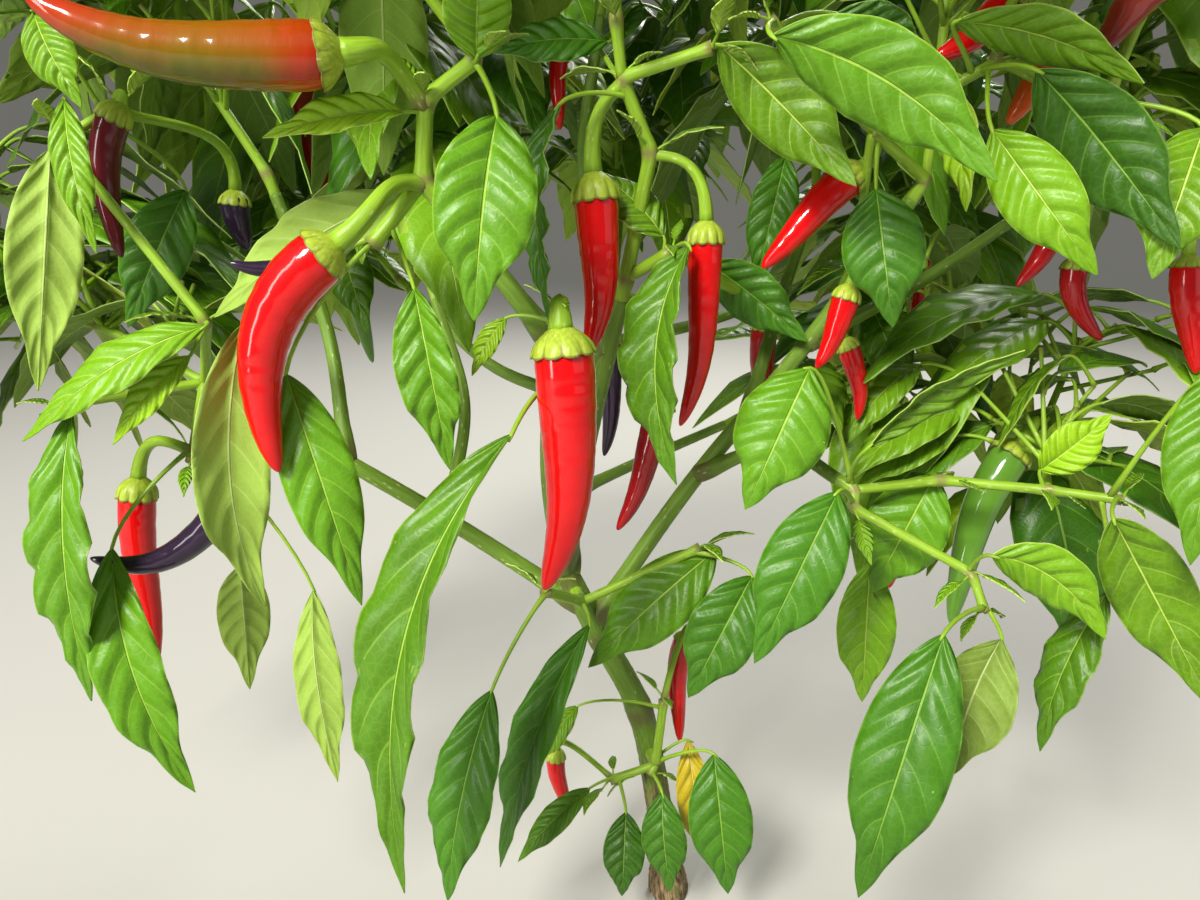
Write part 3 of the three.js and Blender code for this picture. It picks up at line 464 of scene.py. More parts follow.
# %% Grow the masses again
GAP = 0.35
SIDE_GAP = 0.8
STUB_LENGTH = 7
SIDE_STUB_RADIUS = 2
TWIG_LENGTH = 54
TWIG_SHORTENS = 0.86
TWIG_RADIUS = 1.9
TWIG_THINS = 0.8
SHOWN_THINS = 0.9
LEAST_TWIG = 1.2
FORK_ANGLE = 38         # degrees
RISE = 0.16
ORDERS = 3
STALK_LENGTH = 22
BLADE_LENGTH = 80
BLADE_WIDTH = 0.4       # share of its length
DROOP = (18, 68)        # degrees
TRIES = 5
TRY_TURN = 0.5          # radians
FRUIT_SHARE = 0.35
FRUIT_LENGTH = 62
FRUIT_RADIUS = 6.5
FRUIT_BOW = 0.07        # share of its length that a filling fruit's middle bends aside
FOOT_STEP = 2.2
FOOT_SHARE = 0.7
NEAREST_FILL = -28      # leaves that only fill the crown stay behind this depth inside the picture
CORNER_MATCH = 0.05     # mm between a predicted corner and the solid's own

leaves, fruits = [], []

# %% Where a piece of the rule stands


def corners_of(node):
    """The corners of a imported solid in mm, each once."""
    mesh = frame["nodes"][node].data
    flat = np.empty(3 * len(mesh.vertices))
    mesh.vertices.foreach_get("co", flat)
    return np.unique((flat.reshape(-1, 3) / MM).round(3), axis=0)


def stands(mass, point, radius=0.0):
    """True where the mass's solid has a corner at the point, or on a ring of that radius round it."""
    off = np.linalg.norm(mass["corners"] - point, axis=1) - radius
    return np.abs(off).min() < CORNER_MATCH


def in_space(mass, point):
    """True inside the ellipsoid that a mass keeps to, and nearer its heart than any other growing heart."""
    if np.sum(((point - mass["heart"]) / mass["reach"]) ** 2) > 1:
        return False
    own = np.linalg.norm(point - mass["heart"])
    others = [other["heart"] for other in MASSES.values() if "grows" in other and other is not mass]
    return np.linalg.norm(np.array(others) - point, axis=1).min() > own


def before_fill(point):
    """True where a filling leaf would stand in front of what the picture shows."""
    return in_picture(point) and point[1] < NEAREST_FILL


print("corners of the front spray's solid:", len(corners_of("front_spray")))

# %% Joints and the feet of stalks


def start_mass(mass):
    """The first joint: straight on from the limb's tip, or square off its side."""
    limb = limbs[mass["on"]]
    share = mass.get("at", 1)
    along = heading(limb["path"], share)
    side, out, radius = along, GAP, float(limb["radius"](1))
    if "lead" in mass:
        lead = np.array(mass["lead"], float)
        side = unit(lead - along * (lead @ along))
        out, radius = float(limb["radius"](share)) + SIDE_GAP, SIDE_STUB_RADIUS
    root = limb["path"](share)
    joint = {
        "point": root + side * (out + STUB_LENGTH), "radius": min(radius, mass.get("thick", TWIG_RADIUS)),
        "way": side, "length": STUB_LENGTH, "hung": 0, "next": [], "root": root,
    }
    mass.update(corners=corners_of(mass["name"]), joints=[joint], grown=[])


def new_joint(mass, start, point, radius):
    """A straight twig from one joint to a new one."""
    joint = {
        "point": point, "radius": radius, "way": unit(point - start["point"]),
        "length": np.linalg.norm(point - start["point"]), "hung": 0, "next": [],
    }
    start["next"].append(joint)
    mass["joints"].append(joint)
    return joint


def next_foot(joint):
    """Where the next stalk of a joint is rooted: each a step further back inside its twig."""
    joint["hung"] += 1
    back = min(FOOT_STEP * (joint["hung"] - 0.4), FOOT_SHARE * joint["length"])
    return joint["point"] - joint["way"] * back


def nearest_foot(mass, point):
    """The next foot of the joint nearest to a point."""
    return next_foot(min(mass["joints"], key=lambda joint: np.linalg.norm(joint["point"] - point)))

# %% What stands at its place in the picture


def facing(start, tip, turn):
    """The side of a blade that shows its face to the lens, turned about the blade by so many degrees."""
    blade = unit(tip - start)
    return turned(unit(np.cross(blade, unit(LENS - start))), blade, math.radians(turn))


def place_shown(mass):
    """Twigs, fruits and leaves at their places in the picture."""
    for end, number in mass.get("twigs", []):
        start = mass["joints"][number]
        new_joint(mass, start, seen(end), max(LEAST_TWIG, start["radius"] * SHOWN_THINS))
    for name, shoulder, end, radius, bow, *number in mass.get("fruits", []):
        start = seen(shoulder)
        foot = next_foot(mass["joints"][number[0]]) if number else nearest_foot(mass, start)
        fruits.append({"name": name, "foot": foot, "start": start, "tip": seen(end),
                       "radius": radius, "bow": bow, "shown": True})
    for name, base, end, width, turn, *sway in mass.get("leaves", []):
        start, tip = seen(base), seen(end)
        leaves.append({"name": name, "foot": nearest_foot(mass, start), "start": start, "tip": tip,
                       "width": width, "side": facing(start, tip, turn), "sway": sum(sway), "shown": True})


print("a side that faces the lens:", facing(seen([600, 300, 0]), seen([600, 400, 0]), 0).round(2))

# %% Twigs of the crown's own


def grow_twig(mass, start, way, order, number):
    """One twig and the fork beyond it. Its seed is its own, so a twig left out changes no other."""
    random = seeded(mass["seed"] * 1000 + number)
    length = TWIG_LENGTH * TWIG_SHORTENS**order * mixed(0.85, 1.15, random())
    radius = TWIG_RADIUS * TWIG_THINS ** (order + 1)
    end = start["point"] + way * length
    if not in_space(mass, end) or before_fill(end) or not stands(mass, end, radius):
        return
    joint = new_joint(mass, start, end, radius)
    mass["grown"].append((joint, number, order + 1 >= ORDERS))
    if order + 1 >= ORDERS:
        return
    axis = unit(np.cross(way, [random() - 0.5, random() - 0.5, random() - 0.5]))
    for hand in (1, -1):
        angle = math.radians(hand * FORK_ANGLE * mixed(0.75, 1.25, random()))
        onward = unit(turned(way, axis, angle) + UP * RISE)
        grow_twig(mass, joint, onward, order + 1, 2 * number + (0 if hand > 0 else 1))

# %% Leaves and fruits of the crown's own


def fill_leaf(mass, joint, foot, angle, random):
    """A leaf of the crown's own: its stalk leads off between the twig's way and a heading, its blade
    droops."""
    out = np.array([math.cos(angle), math.sin(angle), 0])
    stalk = unit(out + joint["way"] * 0.5 + UP * mixed(-0.1, 0.4, random()))
    length = BLADE_LENGTH * mixed(0.7, 1.2, random())
    droop = math.radians(mixed(*DROOP, random()))
    roll = math.radians(mixed(-24, 24, random()))
    start = foot + stalk * STALK_LENGTH * mixed(0.7, 1.2, random())
    blade = out * math.cos(droop) - UP * math.sin(droop)
    tip = start + blade * length
    middle = mixed(start, tip, 0.5)
    if not in_space(mass, middle) or any(map(before_fill, (start, middle, tip))) or not stands(mass, tip):
        return False
    side = turned(unit(np.cross(blade, UP)), blade, roll)
    leaves.append({"name": mass["name"], "foot": foot, "start": start, "tip": tip,
                   "width": BLADE_WIDTH * length, "side": side, "sway": 0, "shown": False})
    return True


def fill_fruit(mass, joint, angle, random):
    """A fruit of the crown's own, which hangs nearly straight down a little way out from its joint."""
    foot = next_foot(joint)
    out = np.array([math.cos(angle), math.sin(angle), 0])
    length = FRUIT_LENGTH * mixed(0.75, 1.15, random())
    start = foot + out * mixed(12, 18, random()) - UP * 6
    tip = start + unit(out * mixed(0, 0.5, random()) - UP) * length
    radius = FRUIT_RADIUS * mixed(0.75, 1.1, random())
    if in_space(mass, start) and not any(map(before_fill, (start, tip))) and stands(mass, tip):
        fruits.append({"name": mass["name"], "foot": foot, "start": start, "tip": tip, "radius": radius,
                       "bow": FRUIT_BOW, "shown": False})


def hang_on(mass, joint, number, last):
    """What hangs on a joint of the crown's own twigs: now and then a fruit, and leaves all round."""
    random = seeded(mass["seed"] * 1000 + 500 + number)
    away = joint["point"] - mass["heart"]
    first = math.atan2(away[1], away[0]) + mixed(-0.6, 0.6, random())
    if random() < FRUIT_SHARE:
        fill_fruit(mass, joint, first + 2.2, random)
    count = 5 if last else 4
    for k in range(count):
        foot = next_foot(joint)
        angle = first + 2 * math.pi * k / count
        for turn in range(TRIES):
            if fill_leaf(mass, joint, foot, angle + TRY_TURN * turn, random):
                break

# %% Grow every mass
for mass in MASSES.values():
    start_mass(mass)
for mass in MASSES.values():
    place_shown(mass)
for mass in MASSES.values():
    for i, number in enumerate(mass.get("grows", [])):
        joint = mass["joints"][number]
        grow_twig(mass, joint, unit(mass["heart"] - joint["point"]), 0, 1 + 64 * i)
for mass in MASSES.values():
    for joint, number, last in mass["grown"]:
        hang_on(mass, joint, number, last)
print("grown again:", sum(len(mass["grown"]) for mass in MASSES.values()), "twigs,",
      sum(not leaf["shown"] for leaf in leaves), "filling leaves,",
      sum(not fruit["shown"] for fruit in fruits), "filling fruits")

# %% [markdown]
# Finer shoots
#
# A real crown goes on where the coarse solids stop: each joint has short side shoots with smaller, younger
# leaves. The same rule carries on to them. Now there is no solid to ask for what would touch, so every blade
# leaves a few points in a list, and a new blade is kept only if none of its own points comes near them.

# %% Carry the rule on to finer shoots
SHOOTS = 18             # tried at each joint of the crown's own twigs
SHOOT_LENGTH = 34
SHOOT_RADIUS = 0.95
SHOOT_LEAN = 62         # degrees from the twig it starts on
SHOOT_LEAVES = 5
SHOOT_BLADE = 56
SHOOT_STALK = 15
YOUNG_BLADE = 14        # the smallest leaves, at the joints of the shown twigs
CLEAR = 5               # least distance between the points of two blades
LIMB_CLEAR = 5
LOWEST = 6              # height that no leaf hangs below
SPIRAL = 2.4            # radians from one leaf of a shoot to the next, the golden angle

taken = np.full((60000, 3), 1e6)
taken_count = 0
shoots = []             # each a list of points and a list of radii


def take(points):
    """Write points into the list of places that are taken."""
    global taken_count
    taken[taken_count:taken_count + len(points)] = points
    taken_count += len(points)


def is_free(points, clear=CLEAR):
    """True if no taken place is nearer than clear to any of the points."""
    gaps = points[:, None] - taken[None, :taken_count]
    return np.einsum("abc,abc->ab", gaps, gaps).min() > clear**2


def blade_points(start, tip, side, width):
    """Twelve points of a blade: at four shares of its length, on its middle and near each edge."""
    along = start + (tip - start) * np.array([0.28, 0.48, 0.7, 0.92])[:, None]
    return (along[:, None] + side * width * np.array([-0.34, 0, 0.34])[:, None]).reshape(-1, 3)


for limb in limbs.values():
    take(limb["path"](np.linspace(0, 1, 40)))
for leaf in leaves:
    take(blade_points(leaf["start"], leaf["tip"], leaf["side"], leaf["width"]))
for fruit in fruits:
    take(mixed(fruit["start"], fruit["tip"], np.linspace(0, 1, 6)[:, None]))


print("places taken before the shoots grow:", taken_count)

# %% Leaves and shoots where there is room


def shoot_leaf(mass, foot, way, angle, size, random):
    """A leaf of a shoot, placed as a filling leaf is, if its space is free."""
    out = np.array([math.cos(angle), math.sin(angle), 0])
    stalk = unit(out + way * 0.6 + UP * mixed(-0.1, 0.4, random()))
    length = size * mixed(0.7, 1.2, random())
    droop = math.radians(mixed(0, 62, random()))
    roll = math.radians(mixed(-30, 30, random()))
    start = foot + stalk * SHOOT_STALK * mixed(0.7, 1.2, random())
    blade = out * math.cos(droop) - UP * math.sin(droop)
    tip = start + blade * length
    side = turned(unit(np.cross(blade, UP)), blade, roll)
    width = length * mixed(0.34, 0.44, random())
    points = blade_points(start, tip, side, width)
    shown_through = any(map(before_fill, (start, mixed(start, tip, 0.5), tip)))
    if shown_through or tip[2] < LOWEST or not in_space(mass, tip) or not is_free(points):
        return False
    take(points)
    leaves.append({"name": mass["name"], "foot": foot, "start": start, "tip": tip, "width": width,
                   "side": side, "sway": mixed(-0.05, 0.05, random()), "shown": False, "young": True,
                   "spray": len(shoots)})
    return True


def grow_shoot(mass, joint, random):
    """A short twig that leaves another at a steep angle, with leaves at its end and one half way."""
    base = joint["point"] - joint["way"] * joint["length"] * mixed(0, 0.75, random())
    across = unit(np.cross(joint["way"], [random() - 0.5, random() - 0.5, random() - 0.5]))
    lean = math.radians(SHOOT_LEAN * mixed(0.7, 1.2, random()))
    way = unit(turned(joint["way"], across, lean) + UP * 0.3)
    end = base + way * SHOOT_LENGTH * mixed(0.6, 1.3, random())
    if not in_space(mass, end) or before_fill(end) or not is_free(end[None], LIMB_CLEAR):
        return
    first = 2 * math.pi * random()
    held = 0
    for k in range(SHOOT_LEAVES):
        foot = mixed(base, end, 1 - 0.14 * k)
        held += shoot_leaf(mass, foot, way, first + SPIRAL * k, SHOOT_BLADE * (0.8 + 0.12 * k), random)
    if held:
        shoots.append(([base, end], [SHOOT_RADIUS, SHOOT_RADIUS * 0.7]))


def young_leaves(mass, joint, random):
    """Two tiny leaves that have just opened, close to a joint."""
    first = 2 * math.pi * random()
    for k in range(2):
        foot = joint["point"] - joint["way"] * 1.5 * k
        out = np.array([math.cos(first + 2.3 * k), math.sin(first + 2.3 * k), 0.5 * random()])
        way = unit(out + joint["way"] * 0.7)
        start = foot + way * mixed(4, 7, random())
        length = YOUNG_BLADE * mixed(0.6, 1.3, random())
        tip = start + unit(way - UP * mixed(0, 0.7, random())) * length
        side = turned(unit(np.cross(way, UP)), way, mixed(-0.5, 0.5, random()))
        leaves.append({"name": mass["name"], "foot": foot, "start": start, "tip": tip, "width": 0.36 * length,
                       "side": side, "sway": 0.04, "shown": False, "tiny": True})

# %% Grow the shoots
for mass in MASSES.values():
    own = {id(joint) for joint, *_ in mass["grown"]}
    for joint, number, _ in mass["grown"]:
        random = seeded(mass["seed"] * 1000 + 5000 + number)
        for _ in range(SHOOTS):
            grow_shoot(mass, joint, random)
    for number, joint in enumerate(mass["joints"][1:]):
        if id(joint) not in own:
            young_leaves(mass, joint, seeded(7000 + 31 * number + len(mass["name"])))
print("leaves in all:", len(leaves), "on", len(shoots), "shoots")

# %% [markdown]
# From arrays to pieces
#
# Every piece below is a grid of corners worked out as whole arrays, so one helper can put any of them into
# a mesh. Adding leaves one by one as objects, or as instances, would be simpler to write, but thousands of
# objects are slow and instances don't leave Blender with the model. So all pieces of one kind are joined as
# arrays first and made into one mesh at the end.

# %% Join parts and make a mesh


def grid_quads(rows, columns):
    """The four-cornered faces of a grid whose corners are numbered row by row, facing along (column x
    row)."""
    corner = np.arange(rows * columns).reshape(rows, columns)
    ring = [corner[:-1, :-1], corner[:-1, 1:], corner[1:, 1:], corner[1:, :-1]]
    return np.stack(ring, axis=-1).reshape(-1, 4)


def tube_quads(stations, sides):
    """The faces of a closed tube: a grid that joins up round the ring, and at each end a row of faces
    across."""
    corner = np.arange(stations * sides).reshape(stations, sides)
    after = np.roll(corner, -1, axis=1)
    wall = np.stack([corner[:-1], after[:-1], after[1:], corner[1:]], axis=-1).reshape(-1, 4)
    k = np.arange(sides // 2 - 1)
    cap = np.stack([k, k + 1, sides - 2 - k, sides - 1 - k], axis=-1)
    return np.vstack([wall, cap[:, ::-1], cap + (stations - 1) * sides])


def part(corners, quads, skin=0, flat=None, **values):
    """Many copies of one form as one part: corners is copies x corners of one x 3, and the faces are repeated
    with the corners' numbers moved on. Skin and the named values are given for each copy or each face."""
    copies, each, _ = corners.shape
    moved = quads[None] + each * np.arange(copies)[:, None, None]
    flat = np.zeros(len(quads), bool) if flat is None else flat
    made = {
        "corners": corners.reshape(-1, 3), "quads": moved.reshape(-1, 4), "flat": np.tile(flat, copies),
        "skin": np.broadcast_to(skin, (copies, len(quads))).reshape(-1),
    }
    made["values"] = {name: np.reshape(value, (copies * each, -1)) for name, value in values.items()}
    return made


print("faces of a tube with four rings of six corners:", len(tube_quads(4, 6)))

# %% Make one mesh of many parts


def surface(name, parts, skins, nodes=()):
    """One piece from its parts. Corners are in mm, a value of two numbers becomes a UV map, and a value of
    one or three numbers becomes an attribute of that name."""
    starts = np.cumsum([0] + [len(p["corners"]) for p in parts[:-1]])
    corners = np.vstack([p["corners"] for p in parts]) * MM
    quads = np.vstack([p["quads"] + start for p, start in zip(parts, starts)])
    mesh = bpy.data.meshes.new(name)
    mesh.vertices.add(len(corners))
    mesh.vertices.foreach_set("co", corners.astype(np.float32).ravel())
    mesh.loops.add(quads.size)
    mesh.loops.foreach_set("vertex_index", quads.astype(np.int32).ravel())
    mesh.polygons.add(len(quads))
    mesh.polygons.foreach_set("loop_start", np.arange(0, quads.size, 4, dtype=np.int32))
    mesh.update(calc_edges=True)
    mesh.attributes.new("sharp_face", "BOOLEAN", "FACE").data.foreach_set(
        "value", np.concatenate([p["flat"] for p in parts]))
    for skin in skins:
        mesh.materials.append(skin)
    mesh.polygons.foreach_set("material_index", np.concatenate([p["skin"] for p in parts]).astype(np.int32))
    for key in parts[0]["values"]:
        value = np.vstack([p["values"][key] for p in parts])
        if value.shape[1] == 2:
            mesh.uv_layers.new(name=key).data.foreach_set("uv", value[quads].ravel())
        else:
            kind, field = ("FLOAT", "value") if value.shape[1] == 1 else ("FLOAT_VECTOR", "vector")
            mesh.attributes.new(key, kind, "POINT").data.foreach_set(field, value.ravel())
    piece = bpy.data.objects.new(name, mesh)
    bpy.context.scene.collection.objects.link(piece)
    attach(piece, "root")
    if nodes:
        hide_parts(*nodes)
    a, b, c, d = (corners[quads[:, k]] for k in range(4))
    volume = np.sum(np.cross(a, b) * c + np.cross(a, c) * d) / 6
    print(f"{name}: {2 * len(quads)} triangles, {volume / MM**3:.0f} mm3")
    return piece


# %% [markdown]
# Tubes
#
# Stems, stalks and twigs are all tubes. A curve with a bevel would give round ones, but a stem's section is
# ribbed, its joints swell, and thousands of stalks are wanted at once. So a tube here is a ring of corners
# carried along a path. The ring keeps its turn from one station to the next, or the tube would look wrung.

# %% Carry rings along paths


def tubes(paths, radii, sides):
    """Closed tubes along many paths at once. At each station the ring stands square to the way, and its
    first corner is the last station's, laid back onto the new ring's plane. Radii may differ round the
    ring. A corner is the path's point plus the radius times (over x cos a + across x sin a)."""
    ways = unit(np.gradient(paths, axis=1))
    steep = np.abs(ways[:, :1, 2:]) > 0.9
    over = np.where(steep, [0.0, 1.0, 0.0], UP)[:, 0]
    overs = np.empty_like(ways)
    for station in range(paths.shape[1]):
        way = ways[:, station]
        over = unit(over - way * np.sum(over * way, axis=1, keepdims=True))
        overs[:, station] = over
    across = np.cross(ways, overs)
    angle = 2 * np.pi * np.arange(sides) / sides
    ring = overs[:, :, None] * np.cos(angle)[:, None] + across[:, :, None] * np.sin(angle)[:, None]
    radii = np.broadcast_to(radii if radii.ndim == 3 else radii[..., None], ring.shape[:3])
    return paths[:, :, None] + ring * radii[..., None]

# %% Straight places and rough patterns


def straightened(paths, radii, sides, offset=0.0):
    """Where each corner of a tube would be if the tube were straight and upright, in metres: the place
    round the ring and the length along the path. Patterns that follow a stem or a fruit read this."""
    steps = np.linalg.norm(np.diff(paths, axis=1), axis=2)
    along = np.concatenate([np.zeros((len(paths), 1)), np.cumsum(steps, axis=1)], axis=1) + offset
    angle = 2 * np.pi * np.arange(sides) / sides
    radii = np.broadcast_to(radii if radii.ndim == 3 else radii[..., None], (*along.shape, sides))
    rise = np.broadcast_to(along[..., None], radii.shape)
    return np.stack([radii * np.cos(angle), radii * np.sin(angle), rise], axis=-1) * MM


def waves(rng, around, along, lengths, angles, count=24):
    """A rough pattern that closes on itself round a stem: the sum of many waves, each with a whole number of
    crests round the ring and its own length along the stem, over the root of their number."""
    crests = rng.integers(around[0], around[1], count)
    pitch = rng.uniform(*along, count) * rng.choice([-1, 1], count)
    start = rng.uniform(0, 2 * np.pi, count)
    turn = crests * angles[None, :, None] + 2 * np.pi * lengths[:, None, None] / pitch + start
    return np.cos(turn).sum(axis=2) / math.sqrt(count)


# %% [markdown]
# Stem and boughs with their bark
#
# At the foot the stem is corky: pale brown ridges with cracks between them, drawn out along the stem.
# Higher up it is smooth and green with five soft ribs, and each fork is a swollen knee. Bump alone would
# leave the outline round, so the ribs, the cracks and the knees are in the mesh, and the finest grain is
# left to the material.

# %% Stem and boughs
RIBS = 5
RIB_DEPTH = 0.045           # share of the radius
CORK_HEIGHT = 70            # mm up the stem where the cork has thinned to a third
CORK_RELIEF = 0.55          # mm
KNEE = 0.42                 # how much wider a bough starts than it goes on, as a share
KNEE_LENGTH = 9
FINE_CORK = 0.16            # mm, the finest relief on cork
FINE_BARK = 0.035           # mm, and on green bark
STEM_SIDES = 88
BOUGH_SIDES = 30


def limb_part(name, limb, stations, sides, rng):
    """One limb: its radius, times soft ribs, plus a knee where it leaves its parent, plus the bark's
    relief."""
    share = np.linspace(0, 1, stations)
    path = limb["path"](share)
    if name == "main_stem":
        path[0, 2] = 0
    angle = 2 * np.pi * np.arange(sides) / sides
    length = np.append(0, np.cumsum(np.linalg.norm(np.diff(path, axis=0), axis=1)))
    radius = np.broadcast_to(limb["radius"](share), share.shape)[:, None]
    rib = 1 + RIB_DEPTH * np.cos(RIBS * angle + 0.004 * length[:, None])
    parent = limb["parent"]
    wide = 0 if parent is None else limbs[parent]["radius"](0.5)
    knee = 1 + (KNEE * np.exp(-(((length - wide) / KNEE_LENGTH) ** 2)))[:, None] * (parent is not None)
    cork = np.exp(-((path[:, 2] / CORK_HEIGHT) ** 2))[:, None]
    plates = waves(rng, (5, 15), (14, 60), length, angle)
    cracks = -np.exp(-((plates / 0.16) ** 2))
    fine = waves(rng, (8, 20), (3, 10), length, angle)
    relief = cork * (CORK_RELIEF * cracks + FINE_CORK * fine) + FINE_BARK * fine * (1 - cork)
    radii = (radius * rib * knee + relief)[None]
    corners = tubes(path[None], radii, sides)
    if name == "main_stem":
        corners[0, 0, :, 2] = 0
        corners[0, 1:, :, 2] = np.maximum(corners[0, 1:, :, 2], 0.05)
    quads = tube_quads(stations, sides)
    flat = np.zeros(len(quads), bool)
    if name == "main_stem":
        flat[-2 * (sides // 2 - 1):-(sides // 2 - 1)] = True
    joints = np.exp(-(((length - wide) / 7) ** 2)) * (parent is not None)
    if parent is None:
        joints = sum(np.exp(-(((share - joint) / 0.04) ** 2)) for joint in STEM["joints"] + [0.97])
    joint = np.broadcast_to(joints[None, :, None], (1, stations, sides))
    wood = np.broadcast_to(cork[None], (1, stations, sides)) + 0.25 * (plates * cork)[None]
    return part(corners.reshape(1, -1, 3), quads, flat=flat, joint=joint, wood=wood,
                straight=straightened(path[None], radii, sides))


def limb_parts():
    """All limbs, the stem with a station each 0.6 mm and the boughs with one each 1.3 mm."""
    rng = np.random.default_rng(11)
    made = []
    for name, limb in limbs.items():
        length = np.linalg.norm(np.diff(limb["path"](np.linspace(0, 1, 60)), axis=0), axis=1).sum()
        step, sides = (0.6, STEM_SIDES) if name == "main_stem" else (1.3, BOUGH_SIDES)
        made.append(limb_part(name, limb, int(length / step), sides, rng))
    return made


# %% [markdown]
# Twigs and stalks
#
# A pepper twig runs nearly straight from joint to joint, turns a little at each, and is slightly swollen
# there. Each run of twigs is made as one tube so that it doesn't look put together from sticks, and only
# its corners are rounded, because the leaves' feet lie on the straight stretches between them.

# %% Twigs, shoots and stalks


def rounded(points, radii, stations):
    """A run of straight twigs with rounded corners: points each few tenths of a mm, averaged over 5 mm, then
    stations at even spacing. Gives the path, the radius, and how near each station is to a joint."""
    points, radii = np.array(points, float), np.array(radii, float)
    knots = np.append(0, np.cumsum(np.linalg.norm(np.diff(points, axis=0), axis=1)))
    fine = np.linspace(0, knots[-1], 600)
    window = max(1, int(5 / (knots[-1] / 600)) | 1)
    line = np.stack([np.interp(fine, knots, points[:, k]) for k in range(3)], axis=1)
    before = 2 * line[0] - line[1:window // 2 + 1][::-1]
    after = 2 * line[-1] - line[-window // 2:-1][::-1]
    padded = np.vstack([before, line, after])
    kernel = np.ones(window) / window
    soft = np.stack([np.convolve(padded[:, k], kernel, "same") for k in range(3)], axis=1)
    soft = soft[len(before):len(before) + 600]
    share = np.linspace(0, knots[-1], stations)
    path = np.stack([np.interp(share, fine, soft[:, k]) for k in range(3)], axis=1)
    near = np.exp(-((np.abs(share[:, None] - knots[1:]).min(axis=1) / 2.6) ** 2))
    return path, np.interp(share, knots, radii) * (1 + 0.28 * near), near


def runs_from(joint, before):
    """The runs of twigs beyond a joint: the first twig of each fork goes on from the one before it."""
    first, *others = joint["next"] or [None]
    made = []
    for other in others:
        made += runs_from(other, [(joint["point"], 0.85 * joint["radius"])])
    run = before + [(joint["point"], joint["radius"])]
    return made + (runs_from(first, run) if first else [run])

# %% Runs of twigs as tubes


def twig_parts():
    """The masses' own twigs, with a station each 2.2 mm or so, and the short shoots."""
    made = []
    for mass in MASSES.values():
        first = mass["joints"][0]
        wide = limbs[mass["on"]]["radius"](mass.get("at", 1))
        start = 0.62 * wide if "lead" in mass else wide
        for run in runs_from(first, [(first["root"] - first["way"] * 1.5, start)]):
            points, radii = zip(*run)
            length = np.linalg.norm(np.diff(points, axis=0), axis=1).sum()
            if length < 1:
                continue
            stations = max(6, int(length / 2.2))
            path, radius, near = rounded(points, radii, stations)
            made.append((path[None], radius[None], near[None], 12))
    for points, radii in shoots:
        path, radius, near = rounded(points, radii, 9)
        made.append((path[None], radius[None], near[None], 8))
    return [tube_part(*tube) for tube in made]


def tube_part(paths, radii, near, sides):
    """Tubes as one part, with their place along the stem and their nearness to a joint."""
    ribs = 1 + 0.05 * np.cos(RIBS * 2 * np.pi * np.arange(sides) / sides)
    radii = radii[..., None] * ribs
    copies, stations, _ = radii.shape
    joint = np.broadcast_to(near[..., None], radii.shape)
    straight = straightened(paths, radii, sides, 40 * np.arange(copies)[:, None])
    return part(tubes(paths, radii, sides).reshape(copies, -1, 3), tube_quads(stations, sides), joint=joint,
                wood=np.zeros(radii.shape), straight=straight)


# %% Stalks of leaves
FULL_WIDTH = 28             # mm: a leaf so wide has a stalk of full thickness


def stalk_part(some_leaves, stations=10, sides=6):
    """The stalks of leaves: a cubic from the foot to the blade's start that sets off a little upwards,
    arrives along the blade and goes on under it. Thick at the foot, then slowly thinner."""
    foot, start, tip = (np.array([leaf[key] for leaf in some_leaves]) for key in ("foot", "start", "tip"))
    reach = np.linalg.norm(start - foot, axis=1, keepdims=True)
    way = unit(tip - start)
    leave = start - foot + UP * 0.3 * reach
    arrive = (unit(start - foot) + way) * 0.45 * reach
    t = np.linspace(0, 1, stations)[None, :, None]
    paths = ((2 * t**3 - 3 * t**2 + 1) * foot[:, None] + (t**3 - 2 * t**2 + t) * leave[:, None]
             + (3 * t**2 - 2 * t**3) * start[:, None] + (t**3 - t**2) * arrive[:, None])
    paths = np.concatenate([paths, (start + unit(arrive) * 2.5)[:, None]], axis=1)
    share = np.linspace(0, 1, stations + 1)
    size = np.array([0.55 if leaf.get("tiny") else mixed(0.65, 1, min(1, leaf["width"] / FULL_WIDTH))
                     for leaf in some_leaves])
    radii = size[:, None] * (mixed(0.95, 0.62, share) + 0.5 * np.exp(-((share / 0.1) ** 2)))
    radii[:, -1] *= 0.6
    near = np.broadcast_to(np.exp(-((share / 0.12) ** 2)) * 0.6, radii.shape)
    return tube_part(paths, radii, near, sides)


# %% [markdown]
# Leaf blades
#
# A chilli leaf is a long egg with a drawn-out point. It arches from its stalk, its two halves stand up a
# little from the midrib, its edge waves, and between the side veins the blade is faintly quilted. A plane
# with an image of a leaf would do from afar, but it has no edge, no thickness and no underside. Here every
# blade is a thin closed shell: an upper grid, a lower grid with the midrib standing out, and a narrow rim
# between them.

# %% Blades as closed shells
WIDENS = 0.8                # how steeply a blade widens from its base
NARROWS = 1.1               # how steeply it narrows to its tip
POINT_FROM = 0.62           # share of its length where the drawn-out point begins
POINT_DRAWN = 0.28          # how much narrower the point is than a plain egg's
ARCH = 0.1                  # share of its length that a blade's middle stands above its ends
BLADE_THICK = 0.36
VEINS = 7                   # side veins on each half
SWEEP = 0.19                # share of the length that a side vein runs forward on its way to the edge
SWEEP_BEND = 1.35
SIDE_SHIFT = 0.4            # how much later one half's side veins start, as a share of their spacing
PLAIN_TIP = 0.3             # share of the length, at the tip, where the side veins fade out
QUILT = 0.65                # mm that the blade rises between two side veins


def blade_width(u):
    """Width at a share of the length: a power of the share from the base times a power of the share from the
    tip, scaled to 1 where it is broadest, less a smooth dip that draws the point out."""
    peak = WIDENS / (WIDENS + NARROWS)
    egg = (u / peak) ** WIDENS * ((1 - u) / (1 - peak)) ** NARROWS
    dip = np.sin(np.pi * np.clip((u - POINT_FROM) / (1 - POINT_FROM), 0, 1)) ** 2
    return egg * (1 - POINT_DRAWN * dip)


